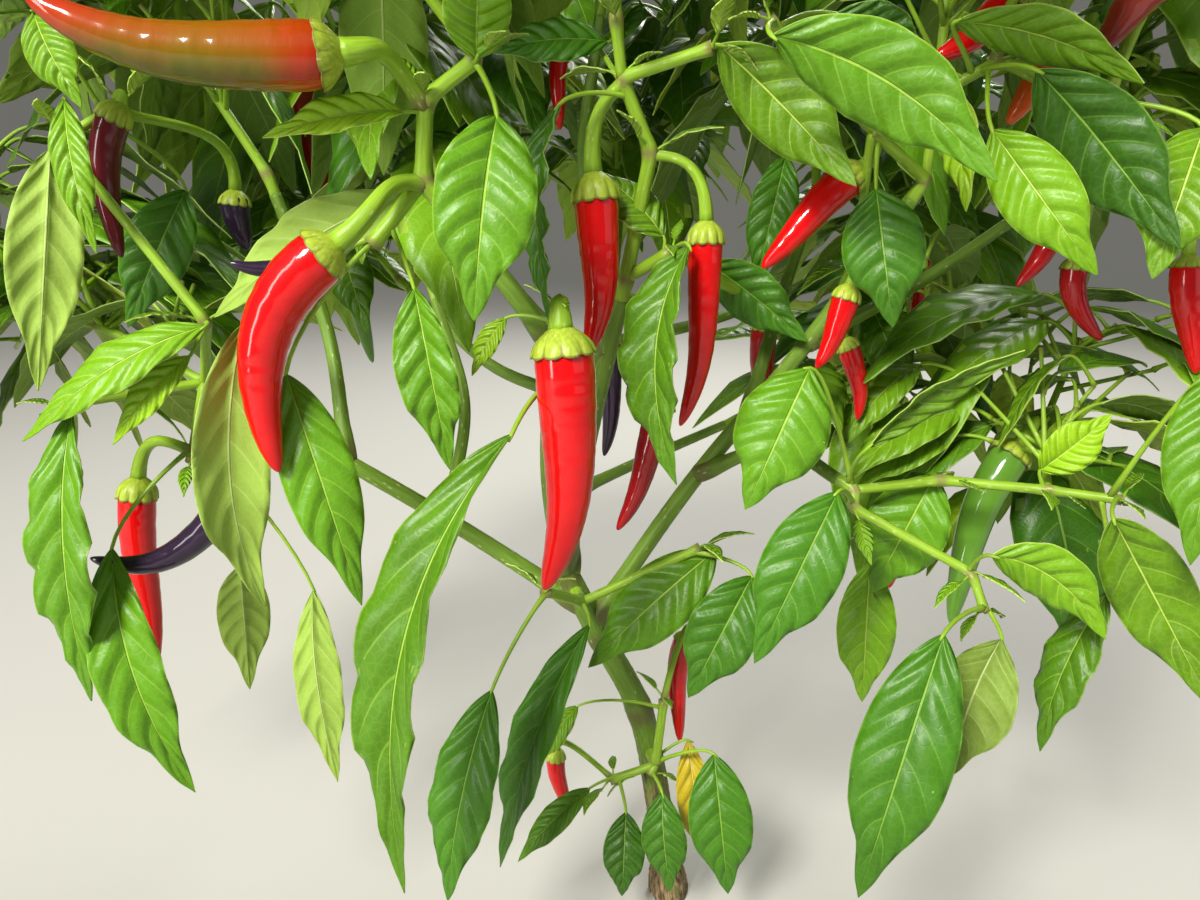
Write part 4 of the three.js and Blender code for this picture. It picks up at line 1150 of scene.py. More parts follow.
def blade_quads(rows, columns):
    """The upper grid, the lower grid turned over, and the rim that joins their edges."""
    upper = grid_quads(rows, columns)
    lower = rows * columns
    corner = np.arange(lower).reshape(rows, columns)
    edge = np.concatenate([corner[0, :-1], corner[:-1, -1], corner[-1, :0:-1], corner[:0:-1, 0]])
    after = np.roll(edge, -1)
    rim = np.stack([after, edge, edge + lower, after + lower], axis=1)
    quads = np.vstack([upper, upper[:, ::-1] + lower, rim])
    side = np.repeat([0, 1, 1], [len(upper), len(upper), len(rim)])
    return quads, side


print("a blade's width at each fifth of its length:", blade_width(np.linspace(0, 1, 6)).round(2))

# %% Blades


def blade_part(some_leaves, rows, columns, skins):
    """Blades as closed shells. The middle line is straight from start to tip, plus an arch upwards, a sway
    aside and an S-shaped curl. Across it a blade rises by its fold times the distance from the midrib,
    falls by its bulge times the square of it, and waves towards the edge. Lean folds one half more than the
    other. Skins gives each leaf's upper and lower slot."""
    def each(key, fallback):
        return np.array([leaf.get(key, fallback) for leaf in some_leaves], float)[:, None]

    start, tip, side = (np.array([leaf[key] for leaf in some_leaves]) for key in ("start", "tip", "side"))
    length = np.linalg.norm(tip - start, axis=1)[:, None]
    way = (tip - start) / length
    over = np.cross(side, way)
    over *= np.where(over[:, 2:] < 0, -1, 1)
    even = np.linspace(0, 1, rows)
    u = 0.004 + 0.991 * (even - 0.09 * np.sin(2 * np.pi * even))
    v = np.linspace(-1, 1, columns)
    v = np.sign(v) * np.abs(v) ** 1.25
    bend = (4 * length * u * (1 - u))[..., None]
    curl = (each("curl", 0) * length * u * (1 - u) * (1 - 2 * u) * 4)[..., None]
    line = (start[:, None] + way[:, None] * (length * u)[..., None] + over[:, None] * (ARCH * bend + curl)
            + side[:, None] * (each("sway", 0) * bend[..., 0])[..., None])
    ways = unit(np.gradient(line, axis=1))
    up = over * each("face", 1)
    up = unit(up[:, None] - ways * np.sum(up[:, None] * ways, axis=2, keepdims=True))
    turn = (each("roll", 0) + each("twist", 0) * (u - 0.3))[..., None]
    up = turned(up, ways, turn)
    across = np.cross(ways, up)

    half = np.maximum(each("width", 0) / 2 * blade_width(u), 0.14)[..., None]
    fold = (each("fold", 0.2) * (1 - 0.5 * u))[..., None] * (1 - each("lean", 0)[..., None] * np.sign(v))
    reach = half * v * np.cos(fold)
    crest = 2 * np.pi * each("waves", 3)[..., None] * u[:, None] + each("phase", 0)[..., None] + 2.1 * (v > 0)
    wave = each("ruffle", 0)[..., None] * (np.sin(crest) + 0.4 * np.sin(2.3 * crest + 1))
    high = (half * (np.sin(fold) * np.abs(v) - each("bulge", 0.14)[..., None] * v**2)
            + wave * np.abs(v) ** 2.5 * np.sin(np.pi * u)[:, None])
    swept = u[:, None] - SWEEP * np.abs(v) ** SWEEP_BEND
    vein = np.sin(np.pi * (VEINS * swept + SIDE_SHIFT * (v > 0))) ** 2
    quilted = vein * (1 - v**4) * (1 - np.exp(-((v / 0.12) ** 2))) * np.minimum(1, half / 6)
    quilted = quilted * np.minimum(1, (1 - u) / PLAIN_TIP)[:, None]
    high = high + QUILT * quilted * (rows > 30)
    groove = -0.3 * np.exp(-((v / 0.07) ** 2)) * (1 - u)[:, None] * np.minimum(1, half / 6)
    rib_radius = np.minimum(mixed(0.75, 0.12, u)[:, None], half)
    rib = 1.1 * rib_radius * np.maximum(0, 1 - (half * v / (1.5 * rib_radius)) ** 2)

    def sheet(height):
        return line[:, :, None] + across[:, :, None] * reach[..., None] + up[:, :, None] * height[..., None]

    upper, lower = high + BLADE_THICK / 2 + groove, high - BLADE_THICK / 2 - rib
    corners = np.concatenate([sheet(upper), sheet(lower)], axis=1)
    quads, which = blade_quads(rows, columns)
    rim = np.arange(len(quads)) >= 2 * (rows - 1) * (columns - 1)
    uv = np.stack(np.broadcast_arrays(u[:, None], (v + 1) / 2), axis=-1)
    uv = np.broadcast_to(np.concatenate([uv, uv])[None], (len(some_leaves), 2 * rows, columns, 2))
    tone = np.broadcast_to(each("tone", 0.5), (len(some_leaves), 2 * rows * columns))
    slots = np.array([skins[leaf["tint"]] for leaf in some_leaves])[:, which]
    return part(corners.reshape(len(some_leaves), -1, 3), quads, slots, rim, blade=uv, tone=tone)


print("faces of one crown leaf:", len(blade_quads(14, 7)[0]))

# %% [markdown]
# Each leaf's own look
#
# Leaves of one plant differ by age. Old ones low down and inside are a deep, slightly blue green, grown
# ones in the light are mid green, and those near the tips are a fresh yellow green. A few hang with their
# pale underside to the camera and a few turn yellow. The shown leaves are told one by one. The others get
# their colour spray by spray, as they opened together, and their fold, waves and curl by chance.

# %% Tints and shapes of leaves
SHOWN_TINTS = {
    "deep": ["deep_green_leaf", "dark_left_leaf", "dark_right_leaf", "shade_leaf", "big_front_leaf",
             "lit_half_leaf", "foot_left_leaf", "foot_right_leaf", "foot_middle_leaf", "second_front_leaf",
             "lower_right_leaf", "round_top_leaf", "edge_on_leaf", "back_left_leaf", "bending_leaf",
             "lower_middle_leaf"],
    "fresh": ["bright_leaf", "right_hanging_leaf", "pointing_leaf", "arching_leaf", "top_edge_leaf",
              "thin_left_leaf", "corner_leaf", "rising_leaf", "long_left_leaf", "foot_small_leaf",
              "top_middle_leaf", "right_edge_leaf", "inner_pale_leaf", "drooping_leaf"],
    "lime": ["slender_leaf", "lime_leaf", "young_pair_leaf", "small_curled_leaf", "small_upper_leaf"],
    "pale": ["pale_left_leaf", "pale_back_leaf", "narrow_hanging_leaf", "blurred_leaf", "cover_leaf",
             "veined_left_leaf"],
    "yellow": ["yellow_leaf"],
}
SHOWN_SHAPES = {
    "long_front_leaf": {"fold": 0.6, "lean": 0.75, "twist": -0.3, "ruffle": 2.2, "waves": 5, "bulge": 0.12},
    "hanging_leaf": {"fold": 0.55, "lean": 0.65, "ruffle": 2, "waves": 5, "bulge": 0.1, "twist": 0},
    "heart_leaf": {"fold": 0.45, "lean": -0.4, "bulge": 0.2, "ruffle": 1.0, "waves": 3},
    "inner_left_leaf": {"fold": 0.6, "lean": 0.7, "bulge": 0.16, "ruffle": 1.6, "waves": 5, "twist": 0},
    "pale_left_leaf": {"fold": -0.45, "lean": 0.6, "bulge": 0.1, "ruffle": 1.0, "waves": 3, "twist": 0},
    "slender_leaf": {"fold": 0.7, "lean": 0, "ruffle": 0.6, "waves": 3},
    "cover_leaf": {"fold": 0.25, "bulge": 0.3, "ruffle": 1.0, "waves": 3},
    "broad_top_leaf": {"fold": 0.25, "bulge": 0.22, "curl": 0.03, "ruffle": 0.9},
    "big_front_leaf": {"fold": 0.28, "bulge": 0.26, "ruffle": 1.2, "waves": 4.5, "twist": 0.1},
    "middle_leaf": {"fold": 0.15, "bulge": 0.3, "ruffle": 1.4, "waves": 4, "twist": 0.1},
    "lower_middle_leaf": {"fold": 0.25, "bulge": 0.2, "ruffle": 1.1, "waves": 3.5},
    "edge_on_leaf": {"fold": 0.6, "ruffle": 1.4, "waves": 5},
    "left_edge_leaf": {"fold": 0.5, "lean": 0.4, "ruffle": 2, "waves": 5},
    "front_left_leaf": {"fold": 0.45, "lean": 0.5, "ruffle": 1.4, "waves": 4},
    "bending_leaf": {"fold": 0.6, "ruffle": 1.2, "waves": 4, "twist": 0.3},
    "pointing_leaf": {"fold": 0.8, "bulge": 0.1, "ruffle": 0.6, "waves": 3, "twist": 0},
    "small_upper_leaf": {"fold": 0.6, "ruffle": 0.4},
    "drooping_leaf": {"fold": 0.2, "bulge": 0.3, "curl": 0.03},
}
tint_of_shown = {name: tint for tint, names in SHOWN_TINTS.items() for name in names}
CROWN_MIDDLE = np.array([-10, 40, 290])
dealt = np.random.default_rng(23)
spray_tints = {}


def spray_tint(leaf):
    """The tint of the spray that a leaf belongs to: deep ones more likely near the crown's middle, fresh ones
    towards its outside and on young shoots."""
    key = leaf.get("spray", (leaf["name"], tuple(np.round(leaf["foot"] / 25))))
    if key not in spray_tints:
        outside = np.linalg.norm((leaf["start"] - CROWN_MIDDLE) / [280, 170, 210])
        young = 0.3 if leaf.get("young") else 0
        weights = np.array([max(0.08, 0.75 - 0.6 * outside - young), 0.55, 0.1 + 0.35 * outside + young,
                            0.03 + 0.3 * young, 0.012])
        choices = ["deep", "mid", "fresh", "lime", "yellow"]
        spray_tints[key] = str(dealt.choice(choices, p=weights / weights.sum()))
    return spray_tints[key]


for leaf in leaves:
    if leaf["shown"]:
        leaf["tint"] = tint_of_shown.get(leaf["name"], "mid")
    else:
        leaf["tint"] = "fresh" if leaf.get("tiny") else spray_tint(leaf)
    over = np.cross(leaf["side"], leaf["tip"] - leaf["start"])
    over = over if over[2] >= 0 else -over
    leaf["face"] = 1
    if leaf["shown"]:
        towards = np.sign(over @ (LENS - leaf["start"]))
        leaf["face"] = -towards if leaf["tint"] == "pale" else towards
    leaf.update(
        fold=dealt.uniform(0.1, 0.42), bulge=dealt.uniform(0.08, 0.26), waves=dealt.uniform(2.2, 4.5),
        ruffle=0.04 * leaf["width"] * dealt.uniform(0.4, 1.5), phase=dealt.uniform(0, 6.28),
        curl=dealt.uniform(-0.015, 0.05), tone=dealt.uniform(0, 1),
        twist=dealt.uniform(-0.5, 0.5) * (0.4 if leaf["shown"] else 1),
    )
    leaf.update(SHOWN_SHAPES.get(leaf["name"], {}))
tints = [leaf["tint"] for leaf in leaves]
print("tints:", {tint: tints.count(tint) for tint in sorted(set(tints))})

# %% [markdown]
# Fruits
#
# A chilli is a slightly bent, hollow cone with a blunt tip, so glossy that it mirrors the sky in one long
# streak. Its skin is faintly three-lobed and crossed by fine wrinkles. It hangs in a ribbed green cap with a
# scalloped rim, the calyx, on a stout stalk that widens towards it. Turning a profile would give a straight,
# round one, so the rings here follow a bent middle line, and lobes and wrinkles are added to their radius.

# %% Fruits, caps and fruit stalks
LOBES = 3
LOBE_DEPTH = 0.015
FRUIT_NARROWS = 0.68        # how much narrower a fruit is at its tip, before the tip's rounding
SHOULDER = 0.2              # how much narrower it is at the very top
SHOULDER_SHARE = 0.04       # share of its length in which the shoulder widens
WRINKLE_DEPTH = 0.0045
WRINKLES = [(9.1, 1), (6.3, -2), (5.2, 1), (7.4, 3), (4.6, -1)]     # mm apart, and crests round the fruit
CAP_TOP = 0.45              # how far a cap starts above its fruit, in fruit radii
CAP_RIDGES = 10
CAP_RELIEF = 0.16           # height of its ridges at the rim, as a share of its width
CAP_SCALLOP = 0.15          # depth of the rim's scallops, in fruit radii
CAP_THICK = 0.07
PEDICEL_SHARE = 0.28        # radius of a fruit's stalk, in fruit radii
STRAIGHT_DROP = 60          # mm: a stalk that starts so far above its fruit hangs down without an arch
SHOWN_RIMS = {              # how far a cap reaches down over its fruit, in fruit radii
    "front_fruit": 0.5, "left_fruit": 0.3, "turning_fruit": 0.3, "second_fruit": 0.85, "third_fruit": 0.9,
    "maroon_fruit": 0.9, "behind_red_fruit": 0.8,
}
SHOWN_FRUIT_TINTS = {
    "turning_fruit": "turning", "small_dark_fruit": "violet", "curved_violet_fruit": "violet",
    "far_violet_fruit": "violet", "dark_red_fruit": "dark red", "hooked_fruit": "dark red",
    "brown_red_fruit": "brown red", "maroon_fruit": "maroon", "violet_top_fruit": "brown red",
    "orange_fruit": "orange", "behind_dark_fruit": "violet", "behind_long_fruit": "dark red",
    "behind_leaf_fruit": "dark red",
}
FILL_FRUIT_TINTS = ["green", "red", "green", "dark red", "red", "green", "red", "maroon", "red"]

for number, fruit in enumerate(fruits):
    fruit["tint"] = SHOWN_FRUIT_TINTS.get(fruit["name"], "red")
    if not fruit["shown"]:
        fruit["tint"] = FILL_FRUIT_TINTS[number % len(FILL_FRUIT_TINTS)]
    fruit["rim"] = SHOWN_RIMS.get(fruit["name"], dealt.uniform(0.35, 0.8))
    fruit["phase"] = dealt.uniform(0, 6.28)
print("fruits:", len(fruits), "and red:", sum(fruit["tint"] == "red" for fruit in fruits))

# %% Middle lines and bodies of fruits


def fruit_lines(some_fruits, share):
    """The bent middle lines of fruits: straight from shoulder to tip, plus a bow in one plane. Gives the
    line, the ways along it and the two directions across."""
    start, tip = (np.array([fruit[key] for fruit in some_fruits]) for key in ("start", "tip"))
    body = tip - start
    length = np.linalg.norm(body, axis=1, keepdims=True)
    aside = unit(np.stack([body[:, 2], 0 * body[:, 0], -body[:, 0]], axis=1))
    bend = np.array([fruit["bow"] for fruit in some_fruits])[:, None]
    bow = (bend * 4 * share * (1 - share) + 0.012 * np.sin(2 * np.pi * share))[..., None]
    line = start[:, None] + body[:, None] * share[None, :, None] + aside[:, None] * length[:, None] * bow
    ways = unit(np.gradient(line, share, axis=1))
    binormal = unit(np.cross(body, aside))[:, None]
    return line, ways, np.cross(binormal, ways), np.broadcast_to(binormal, ways.shape)


def fruit_part(some_fruits, rows, sides, skins):
    """Fruits: a shoulder a little narrower than the belly, a taper of one less a power of the share, a
    round tip, soft lobes that fade towards it, and wrinkles that run round and are a few mm apart."""
    even = np.linspace(0, 1, rows)
    share = 0.999 * (1 - (1 - even) ** 1.5)
    line, ways, over, across = fruit_lines(some_fruits, share)
    angle = 2 * np.pi * np.arange(sides) / sides
    radius = np.array([fruit["radius"] for fruit in some_fruits])[:, None, None]
    length = np.array([np.linalg.norm(fruit["tip"] - fruit["start"]) for fruit in some_fruits])[:, None, None]
    phase = np.array([fruit["phase"] for fruit in some_fruits])[:, None, None]
    s = share[None, :, None]
    taper = (1 - FRUIT_NARROWS * s**1.9) * np.sqrt(1 - s**16) * (1 - SHOULDER * np.exp(-s / SHOULDER_SHARE))
    lobes = 1 + LOBE_DEPTH * np.cos(LOBES * angle + phase) * np.sqrt(1 - s)
    wrinkles = sum(np.cos(2 * np.pi * s * length / pitch + crests * angle + phase * k)
                   for k, (pitch, crests) in enumerate(WRINKLES, 1))
    wrinkles = WRINKLE_DEPTH * wrinkles * np.minimum(1, 8 * s) * (rows > 40)
    radii = radius * taper * (lobes + wrinkles)
    spread = over[:, :, None] * np.cos(angle)[:, None] + across[:, :, None] * np.sin(angle)[:, None]
    corners = line[:, :, None] + spread * radii[..., None]
    along = np.broadcast_to(s, radii.shape)
    offset = 100 * np.arange(len(some_fruits))[:, None]
    slots = np.array([skins[fruit["tint"]] for fruit in some_fruits])[:, None]
    return part(corners.reshape(len(some_fruits), -1, 3), tube_quads(rows, sides), slots, along=along,
                straight=straightened(line, radii, sides, offset))

# %% Caps


def cap_part(some_fruits, sides=60):
    """The caps: cups turned round their fruits. From the stalk down, the width rises as one less an
    exponential of the distance. Ten rounded ridges fade in towards the rim, which is scalloped with them.
    The inner wall goes back up a little way and closes inside the fruit."""
    down = np.array([0, 0.06, 0.13, 0.22, 0.32, 0.43, 0.55, 0.67, 0.79, 0.9, 0.97, 1, 0.98, 0.88, 0.7])
    inner = np.array([0, 0, 0, 0, 0, 0, 0, 0, 0, 0, 0, 0.35, 1, 1.2, 2.4])
    line, ways, over, across = fruit_lines(some_fruits, np.array([0.0, 0.01]))
    way, over, across = (value[:, 0, None, None] for value in (ways, over, across))
    angle = 2 * np.pi * np.arange(sides) / sides
    radius = np.array([fruit["radius"] for fruit in some_fruits])[:, None, None]
    rim = np.array([fruit["rim"] for fruit in some_fruits])[:, None, None]
    ridge = np.abs(np.cos(CAP_RIDGES / 2 * angle)) ** 0.7 - 0.6
    from_top = (rim + CAP_TOP) * down[:, None]
    spreads = 0.38 + 0.12 * (1 - rim)
    reach = 0.7 + 0.14 * (1 - rim)
    wide = 0.35 + reach * (1 - np.exp(-((from_top / spreads) ** 1.3))) - CAP_THICK * inner[:, None]
    fade = np.clip((down - 0.15) / 0.5, 0, 1)[:, None] * (inner[:, None] < 1)
    wide = radius * wide * (1 + CAP_RELIEF * rim * fade * ridge)
    scallop = CAP_SCALLOP * rim * np.clip((down[:, None] - 0.7) / 0.3, 0, 1) * ridge
    rise = radius * (from_top - CAP_TOP + scallop)
    spread = over * np.cos(angle)[:, None] + across * np.sin(angle)[:, None]
    corners = line[:, 0, None, None] + way * rise[..., None] + spread * wide[..., None]
    place = np.stack([wide * np.cos(angle), wide * np.sin(angle), rise], axis=-1) * MM
    # The rim gets the brown flush, which is its own colour. The grooves between the ridges get it too, as
    # painted shade.
    brown_rim_and_groove_shade = 1.5 * np.clip((down - 0.88) / 0.09, 0, 1)[:, None] + 0.9 * fade * (ridge < -0.25)
    return part(corners.reshape(len(some_fruits), -1, 3), tube_quads(len(down), sides),
                joint=np.broadcast_to(brown_rim_and_groove_shade, wide.shape), wood=np.zeros(wide.shape), straight=place)


print("corners of one cap:", len(cap_part(fruits[:1])["corners"]))

# %% Fruit stalks


def pedicel_part(some_fruits, stations=20, sides=12):
    """The fruit stalks: a cubic from the foot, over a top, down into the cap along the fruit's own way,
    thickest where it meets the cap. The higher the foot is above the fruit, the less the stalk arches."""
    foot, start = (np.array([fruit[key] for fruit in some_fruits]) for key in ("foot", "start"))
    _, ways, _, _ = fruit_lines(some_fruits, np.array([0.0, 0.01]))
    way = ways[:, 0]
    radius = np.array([fruit["radius"] for fruit in some_fruits])[:, None]
    end = start - way * radius * CAP_TOP * 0.8
    length = np.array([np.linalg.norm(fruit["tip"] - fruit["start"]) for fruit in some_fruits])
    top = mixed(foot, start, 0.55)
    arched = np.maximum(foot[:, 2], start[:, 2]) + np.maximum(3, 0.12 * length)
    top[:, 2] = mixed(arched, top[:, 2], np.clip((foot[:, 2] - start[:, 2]) / STRAIGHT_DROP, 0, 1))
    second = foot + (top - foot) * 0.9
    third = end - way * np.linalg.norm(end - top, axis=1, keepdims=True) * 0.8
    t = np.linspace(0, 1, stations)[None, :, None]
    weights = ((1 - t) ** 3, 3 * t * (1 - t) ** 2, 3 * t**2 * (1 - t), t**3)
    paths = sum(weight * point[:, None] for weight, point in zip(weights, (foot, second, third, end)))
    share = t[..., 0]
    thin = PEDICEL_SHARE * radius
    thick = 0.42 * radius
    radii = thin * (1 + 0.25 * np.exp(-((share / 0.08) ** 2))) + (thick - thin) * share**3
    near = np.broadcast_to(np.exp(-((share / 0.1) ** 2)), radii.shape)
    return tube_part(paths, radii, near, sides)


print("fruits:", len(fruits), "of which shown in the picture", sum(fruit["shown"] for fruit in fruits))

# %% [markdown]
# Materials
#
# Blender's Principled shader covers all the finishes here. A pattern can be laid on by coordinates of the
# whole object or by coordinates that follow the surface. Bark and wrinkles have to follow the stem or the
# fruit, so they read the straightened place stored with each corner, and the veins of a leaf read its own
# map.

# %% Node helpers


def linear(code):
    """A colour written as sRGB hex, as the linear numbers that shaders use."""
    parts = [int(code[k:k + 2], 16) / 255 for k in (1, 3, 5)]
    return [c / 12.92 if c <= 0.04045 else ((c + 0.055) / 1.055) ** 2.4 for c in parts] + [1.0]


def add(tree, kind, inputs=None, **settings):
    """A node of a kind with its settings. Each input is set to a number or colour, or linked from an
    output."""
    node = tree.nodes.new("ShaderNode" + kind)
    for key, value in settings.items():
        setattr(node, key, value)
    for key, value in (inputs or {}).items():
        if isinstance(value, bpy.types.NodeSocket):
            tree.links.new(value, node.inputs[key])
        else:
            node.inputs[key].default_value = value
    return node


def new_skin(name, **settings):
    """A material with one Principled shader, whose fixed values are set on its own sockets."""
    skin = bpy.data.materials.new(name)
    skin.use_nodes = True
    shader = skin.node_tree.nodes["Principled BSDF"]
    for key, value in settings.items():
        shader.inputs[key.replace("_", " ")].default_value = value
    return skin, skin.node_tree, shader


def ramp(tree, value, low, high, start=0.0, end=1.0):
    """A value carried from one range to another, smoothly and without overshoot."""
    inputs = {"Value": value, "From Min": low, "From Max": high, "To Min": start, "To Max": end}
    return add(tree, "MapRange", inputs, interpolation_type="SMOOTHSTEP").outputs["Result"]


def blend(tree, share, first, second):
    """Two colours mixed by a share."""
    node = add(tree, "Mix", data_type="RGBA")
    for socket, value in ((node.inputs[0], share), (node.inputs[6], first), (node.inputs[7], second)):
        if isinstance(value, bpy.types.NodeSocket):
            tree.links.new(value, socket)
        else:
            socket.default_value = value
    return node.outputs[2]


print("middle grey in linear light:", round(linear("#808080")[0], 3))

# %% [markdown]
# Leaf skin
#
# The upper side of a grown chilli leaf has a thin waxy skin: satin, with soft highlights that break up over
# the quilting. The underside has no wax and is matt and paler. Veins are lighter than the blade. The side
# veins are where the share of the length, less a bend with the distance from the midrib, passes a whole
# number. On one half they start a little later, as the veins of a real leaf don't leave the midrib in
# pairs, and all fade at the tip.

# %% Leaf skins
VEIN_FINE = 2.6             # mm between the finest veins


def leaf_skin(name, blade, vein, roughness, height, gloss):
    """A leaf's skin: blade colour, paler veins and rim, and relief of veins and quilting."""
    skin, tree, shader = new_skin(name, Roughness=roughness, IOR=1.42, Specular_IOR_Level=gloss)
    place = add(tree, "UVMap", uv_map="blade").outputs[0]
    split = add(tree, "SeparateXYZ", {0: place})
    centred = add(tree, "Math", {0: split.outputs[1], 1: 0.5}, operation="SUBTRACT").outputs[0]
    beside = add(tree, "Math", {0: centred}, operation="ABSOLUTE").outputs[0]
    beside = add(tree, "Math", {0: beside, 1: 2.0}, operation="MULTIPLY").outputs[0]
    swept = add(tree, "Math", {0: beside, 1: SWEEP_BEND}, operation="POWER").outputs[0]
    swept = add(tree, "Math", {0: swept, 1: -SWEEP, 2: split.outputs[0]}, operation="MULTIPLY_ADD").outputs[0]
    half = add(tree, "Math", {0: split.outputs[1], 1: 0.5}, operation="GREATER_THAN").outputs[0]
    shift = add(tree, "Math", {0: half, 1: SIDE_SHIFT}, operation="MULTIPLY").outputs[0]
    counted = add(tree, "Math", {0: swept, 1: float(VEINS), 2: shift}, operation="MULTIPLY_ADD").outputs[0]
    off_vein = add(tree, "Math", {0: counted, 1: 0.5}, operation="PINGPONG").outputs[0]
    clear = ramp(tree, split.outputs[0], 0.98, 1 - PLAIN_TIP)
    side_vein = ramp(tree, off_vein, 0.05, 0.012)
    inward = ramp(tree, beside, 0.97, 0.5)
    side_vein = add(tree, "Math", {0: side_vein, 1: inward}, operation="MULTIPLY").outputs[0]
    side_vein = add(tree, "Math", {0: side_vein, 1: clear}, operation="MULTIPLY").outputs[0]
    narrows = add(tree, "Math", {0: split.outputs[0], 1: 1.4, 2: 1.0}, operation="MULTIPLY_ADD").outputs[0]
    off_midrib = add(tree, "Math", {0: beside, 1: narrows}, operation="MULTIPLY").outputs[0]
    midrib = ramp(tree, off_midrib, 0.062, 0.022)
    spot = add(tree, "TexCoord").outputs["Object"]
    net = add(tree, "TexVoronoi", {"Vector": spot, "Scale": 1 / (VEIN_FINE * MM)}, feature="DISTANCE_TO_EDGE")
    net = ramp(tree, net.outputs["Distance"], 0.0, 0.16)
    cloud = add(tree, "TexNoise", {"Vector": spot, "Scale": 55.0, "Detail": 3.0}).outputs[0]
    tone = add(tree, "Attribute", attribute_name="tone").outputs["Fac"]
    shade = add(tree, "Math", {0: cloud, 1: tone}, operation="ADD").outputs[0]
    dark = [c * 0.55 for c in linear(blade)[:3]] + [1.0]
    colour = blend(tree, ramp(tree, shade, 0.3, 1.45), dark, linear(blade))
    colour = blend(tree, ramp(tree, net, 1.0, 0.0, 0.0, 0.05), colour, linear(vein))
    colour = blend(tree, ramp(tree, side_vein, 0.0, 1.0, 0.0, 0.22), colour, linear(vein))
    colour = blend(tree, ramp(tree, midrib, 0.0, 1.0, 0.0, 0.7), colour, linear(vein))
    colour = blend(tree, ramp(tree, beside, 0.95, 1.0, 0.0, 0.4), colour, linear(vein))
    tree.links.new(colour, shader.inputs["Base Color"])
    pillow = ramp(tree, off_vein, 0.0, 0.42)
    pillow = add(tree, "Math", {0: pillow, 1: clear}, operation="MULTIPLY").outputs[0]
    relief = add(tree, "Math", {0: net, 1: 0.06, 2: pillow}, operation="MULTIPLY_ADD").outputs[0]
    relief = add(tree, "Math", {0: midrib, 1: -0.8, 2: relief}, operation="MULTIPLY_ADD").outputs[0]
    bump = add(tree, "Bump", {"Strength": 0.8, "Distance": height * MM, "Height": relief})
    tree.links.new(bump.outputs[0], shader.inputs["Normal"])
    return skin


TINTS = {
    "deep": ("#3E7212", "#86B044"), "mid": ("#588C12", "#A6C850"), "fresh": ("#6A9A10", "#BCD860"),
    "lime": ("#88B412", "#D0E474"), "yellow": ("#D8BE22", "#EADF8A"), "pale": ("#76A02C", "#B8D078"),
}
UNDERSIDES = {
    "deep": ("#74963C", "#B0C87C"), "mid": ("#82A63A", "#BCD282"), "fresh": ("#92B438", "#C8DA80"),
    "lime": ("#A6C238", "#D6E490"), "yellow": ("#D4C24A", "#E6DF9C"), "pale": ("#8CAA44", "#C0D288"),
}
leaf_skins, leaf_slots = [], {}
for tint, (blade, vein) in TINTS.items():
    leaf_slots[tint] = (len(leaf_skins), len(leaf_skins) + 1)
    leaf_skins.append(leaf_skin(f"waxy leaf skin, {tint}", blade, vein, 0.4, 0.6, 0.42))
    leaf_skins.append(leaf_skin(f"matt leaf underside, {tint}", *UNDERSIDES[tint], 0.6, -0.5, 0.3))
print("leaf skins:", len(leaf_skins))

# %% [markdown]
# Stem skin
#
# Young stems are green, smooth and slightly ribbed, flushed purple brown at the joints. The old foot is
# cork: dry, rough and grey brown. One material can show both if each corner says how corky it is.
# Lenticels, the small pale dots through which a stem breathes, are drawn out along it.

# %% Stem, stalk and cap skins


def stem_skin(name, green, flush, roughness):
    """A stem's skin: green with a flush at the joints, turning to cork where a corner says so."""
    skin, tree, shader = new_skin(name, IOR=1.45, Specular_IOR_Level=0.4)
    place = add(tree, "Attribute", attribute_name="straight").outputs["Vector"]
    wood = add(tree, "Attribute", attribute_name="wood").outputs["Fac"]
    joint = add(tree, "Attribute", attribute_name="joint").outputs["Fac"]
    drawn = add(tree, "Mapping", {0: place, "Scale": (900.0, 900.0, 110.0)}).outputs[0]
    grain = add(tree, "TexNoise", {"Vector": drawn, "Scale": 1.0, "Detail": 4.0}).outputs[0]
    spots = add(tree, "Mapping", {0: place, "Scale": (420.0, 420.0, 170.0)}).outputs[0]
    spots = add(tree, "TexVoronoi", {"Vector": spots, "Scale": 1.0}).outputs["Distance"]
    lenticel = ramp(tree, spots, 0.2, 0.08, 0.0, 0.45)
    darker = [c * 0.75 for c in linear(green)[:3]] + [1.0]
    colour = blend(tree, ramp(tree, grain, 0.3, 0.7), darker, linear(green))
    colour = blend(tree, ramp(tree, joint, 0.25, 1.1, 0.0, 0.7), colour, linear(flush))
    colour = blend(tree, lenticel, colour, linear("#C9CF8E"))
    cork = blend(tree, ramp(tree, grain, 0.35, 0.65), linear("#4B3B28"), linear("#94805C"))
    corky = add(tree, "Math", {0: grain, 1: 0.5, 2: wood}, operation="MULTIPLY_ADD").outputs[0]
    corky = ramp(tree, corky, 0.55, 1.0)
    tree.links.new(blend(tree, corky, colour, cork), shader.inputs["Base Color"])
    tree.links.new(ramp(tree, corky, 0.0, 1.0, roughness, 0.85), shader.inputs["Roughness"])
    bump = add(tree, "Bump", {"Strength": 0.5, "Distance": 0.35 * MM, "Height": grain})
    tree.links.new(bump.outputs[0], shader.inputs["Normal"])
    return skin


bark = stem_skin("green bark turning to cork", "#6F9130", "#5B4A34", 0.5)
twig_skin = stem_skin("smooth green twig", "#8DB32E", "#7A5A4C", 0.4)
# On caps the flush colour is the brown rim, which is the cap's own colour, and painted shade in the grooves
# between the ridges.
cap_skin = stem_skin("ribbed green cap", "#A3B83A", "#5C5226", 0.4)
print("skins:", [skin.name for skin in (bark, twig_skin, cap_skin)])

# %% [markdown]
# Fruit skin
#
# A ripe chilli is covered by a tough, perfectly smooth film over coloured flesh: a clear coat over a strong
# colour, which is just what the shader's coat layer is for. Unripe fruits are green or violet, and one in the
# picture is turning: red at its cap, orange brown above and olive below. Its colour follows the share of its
# length and the side of it, so it has a material and a piece of its own.

# %% Fruit skins


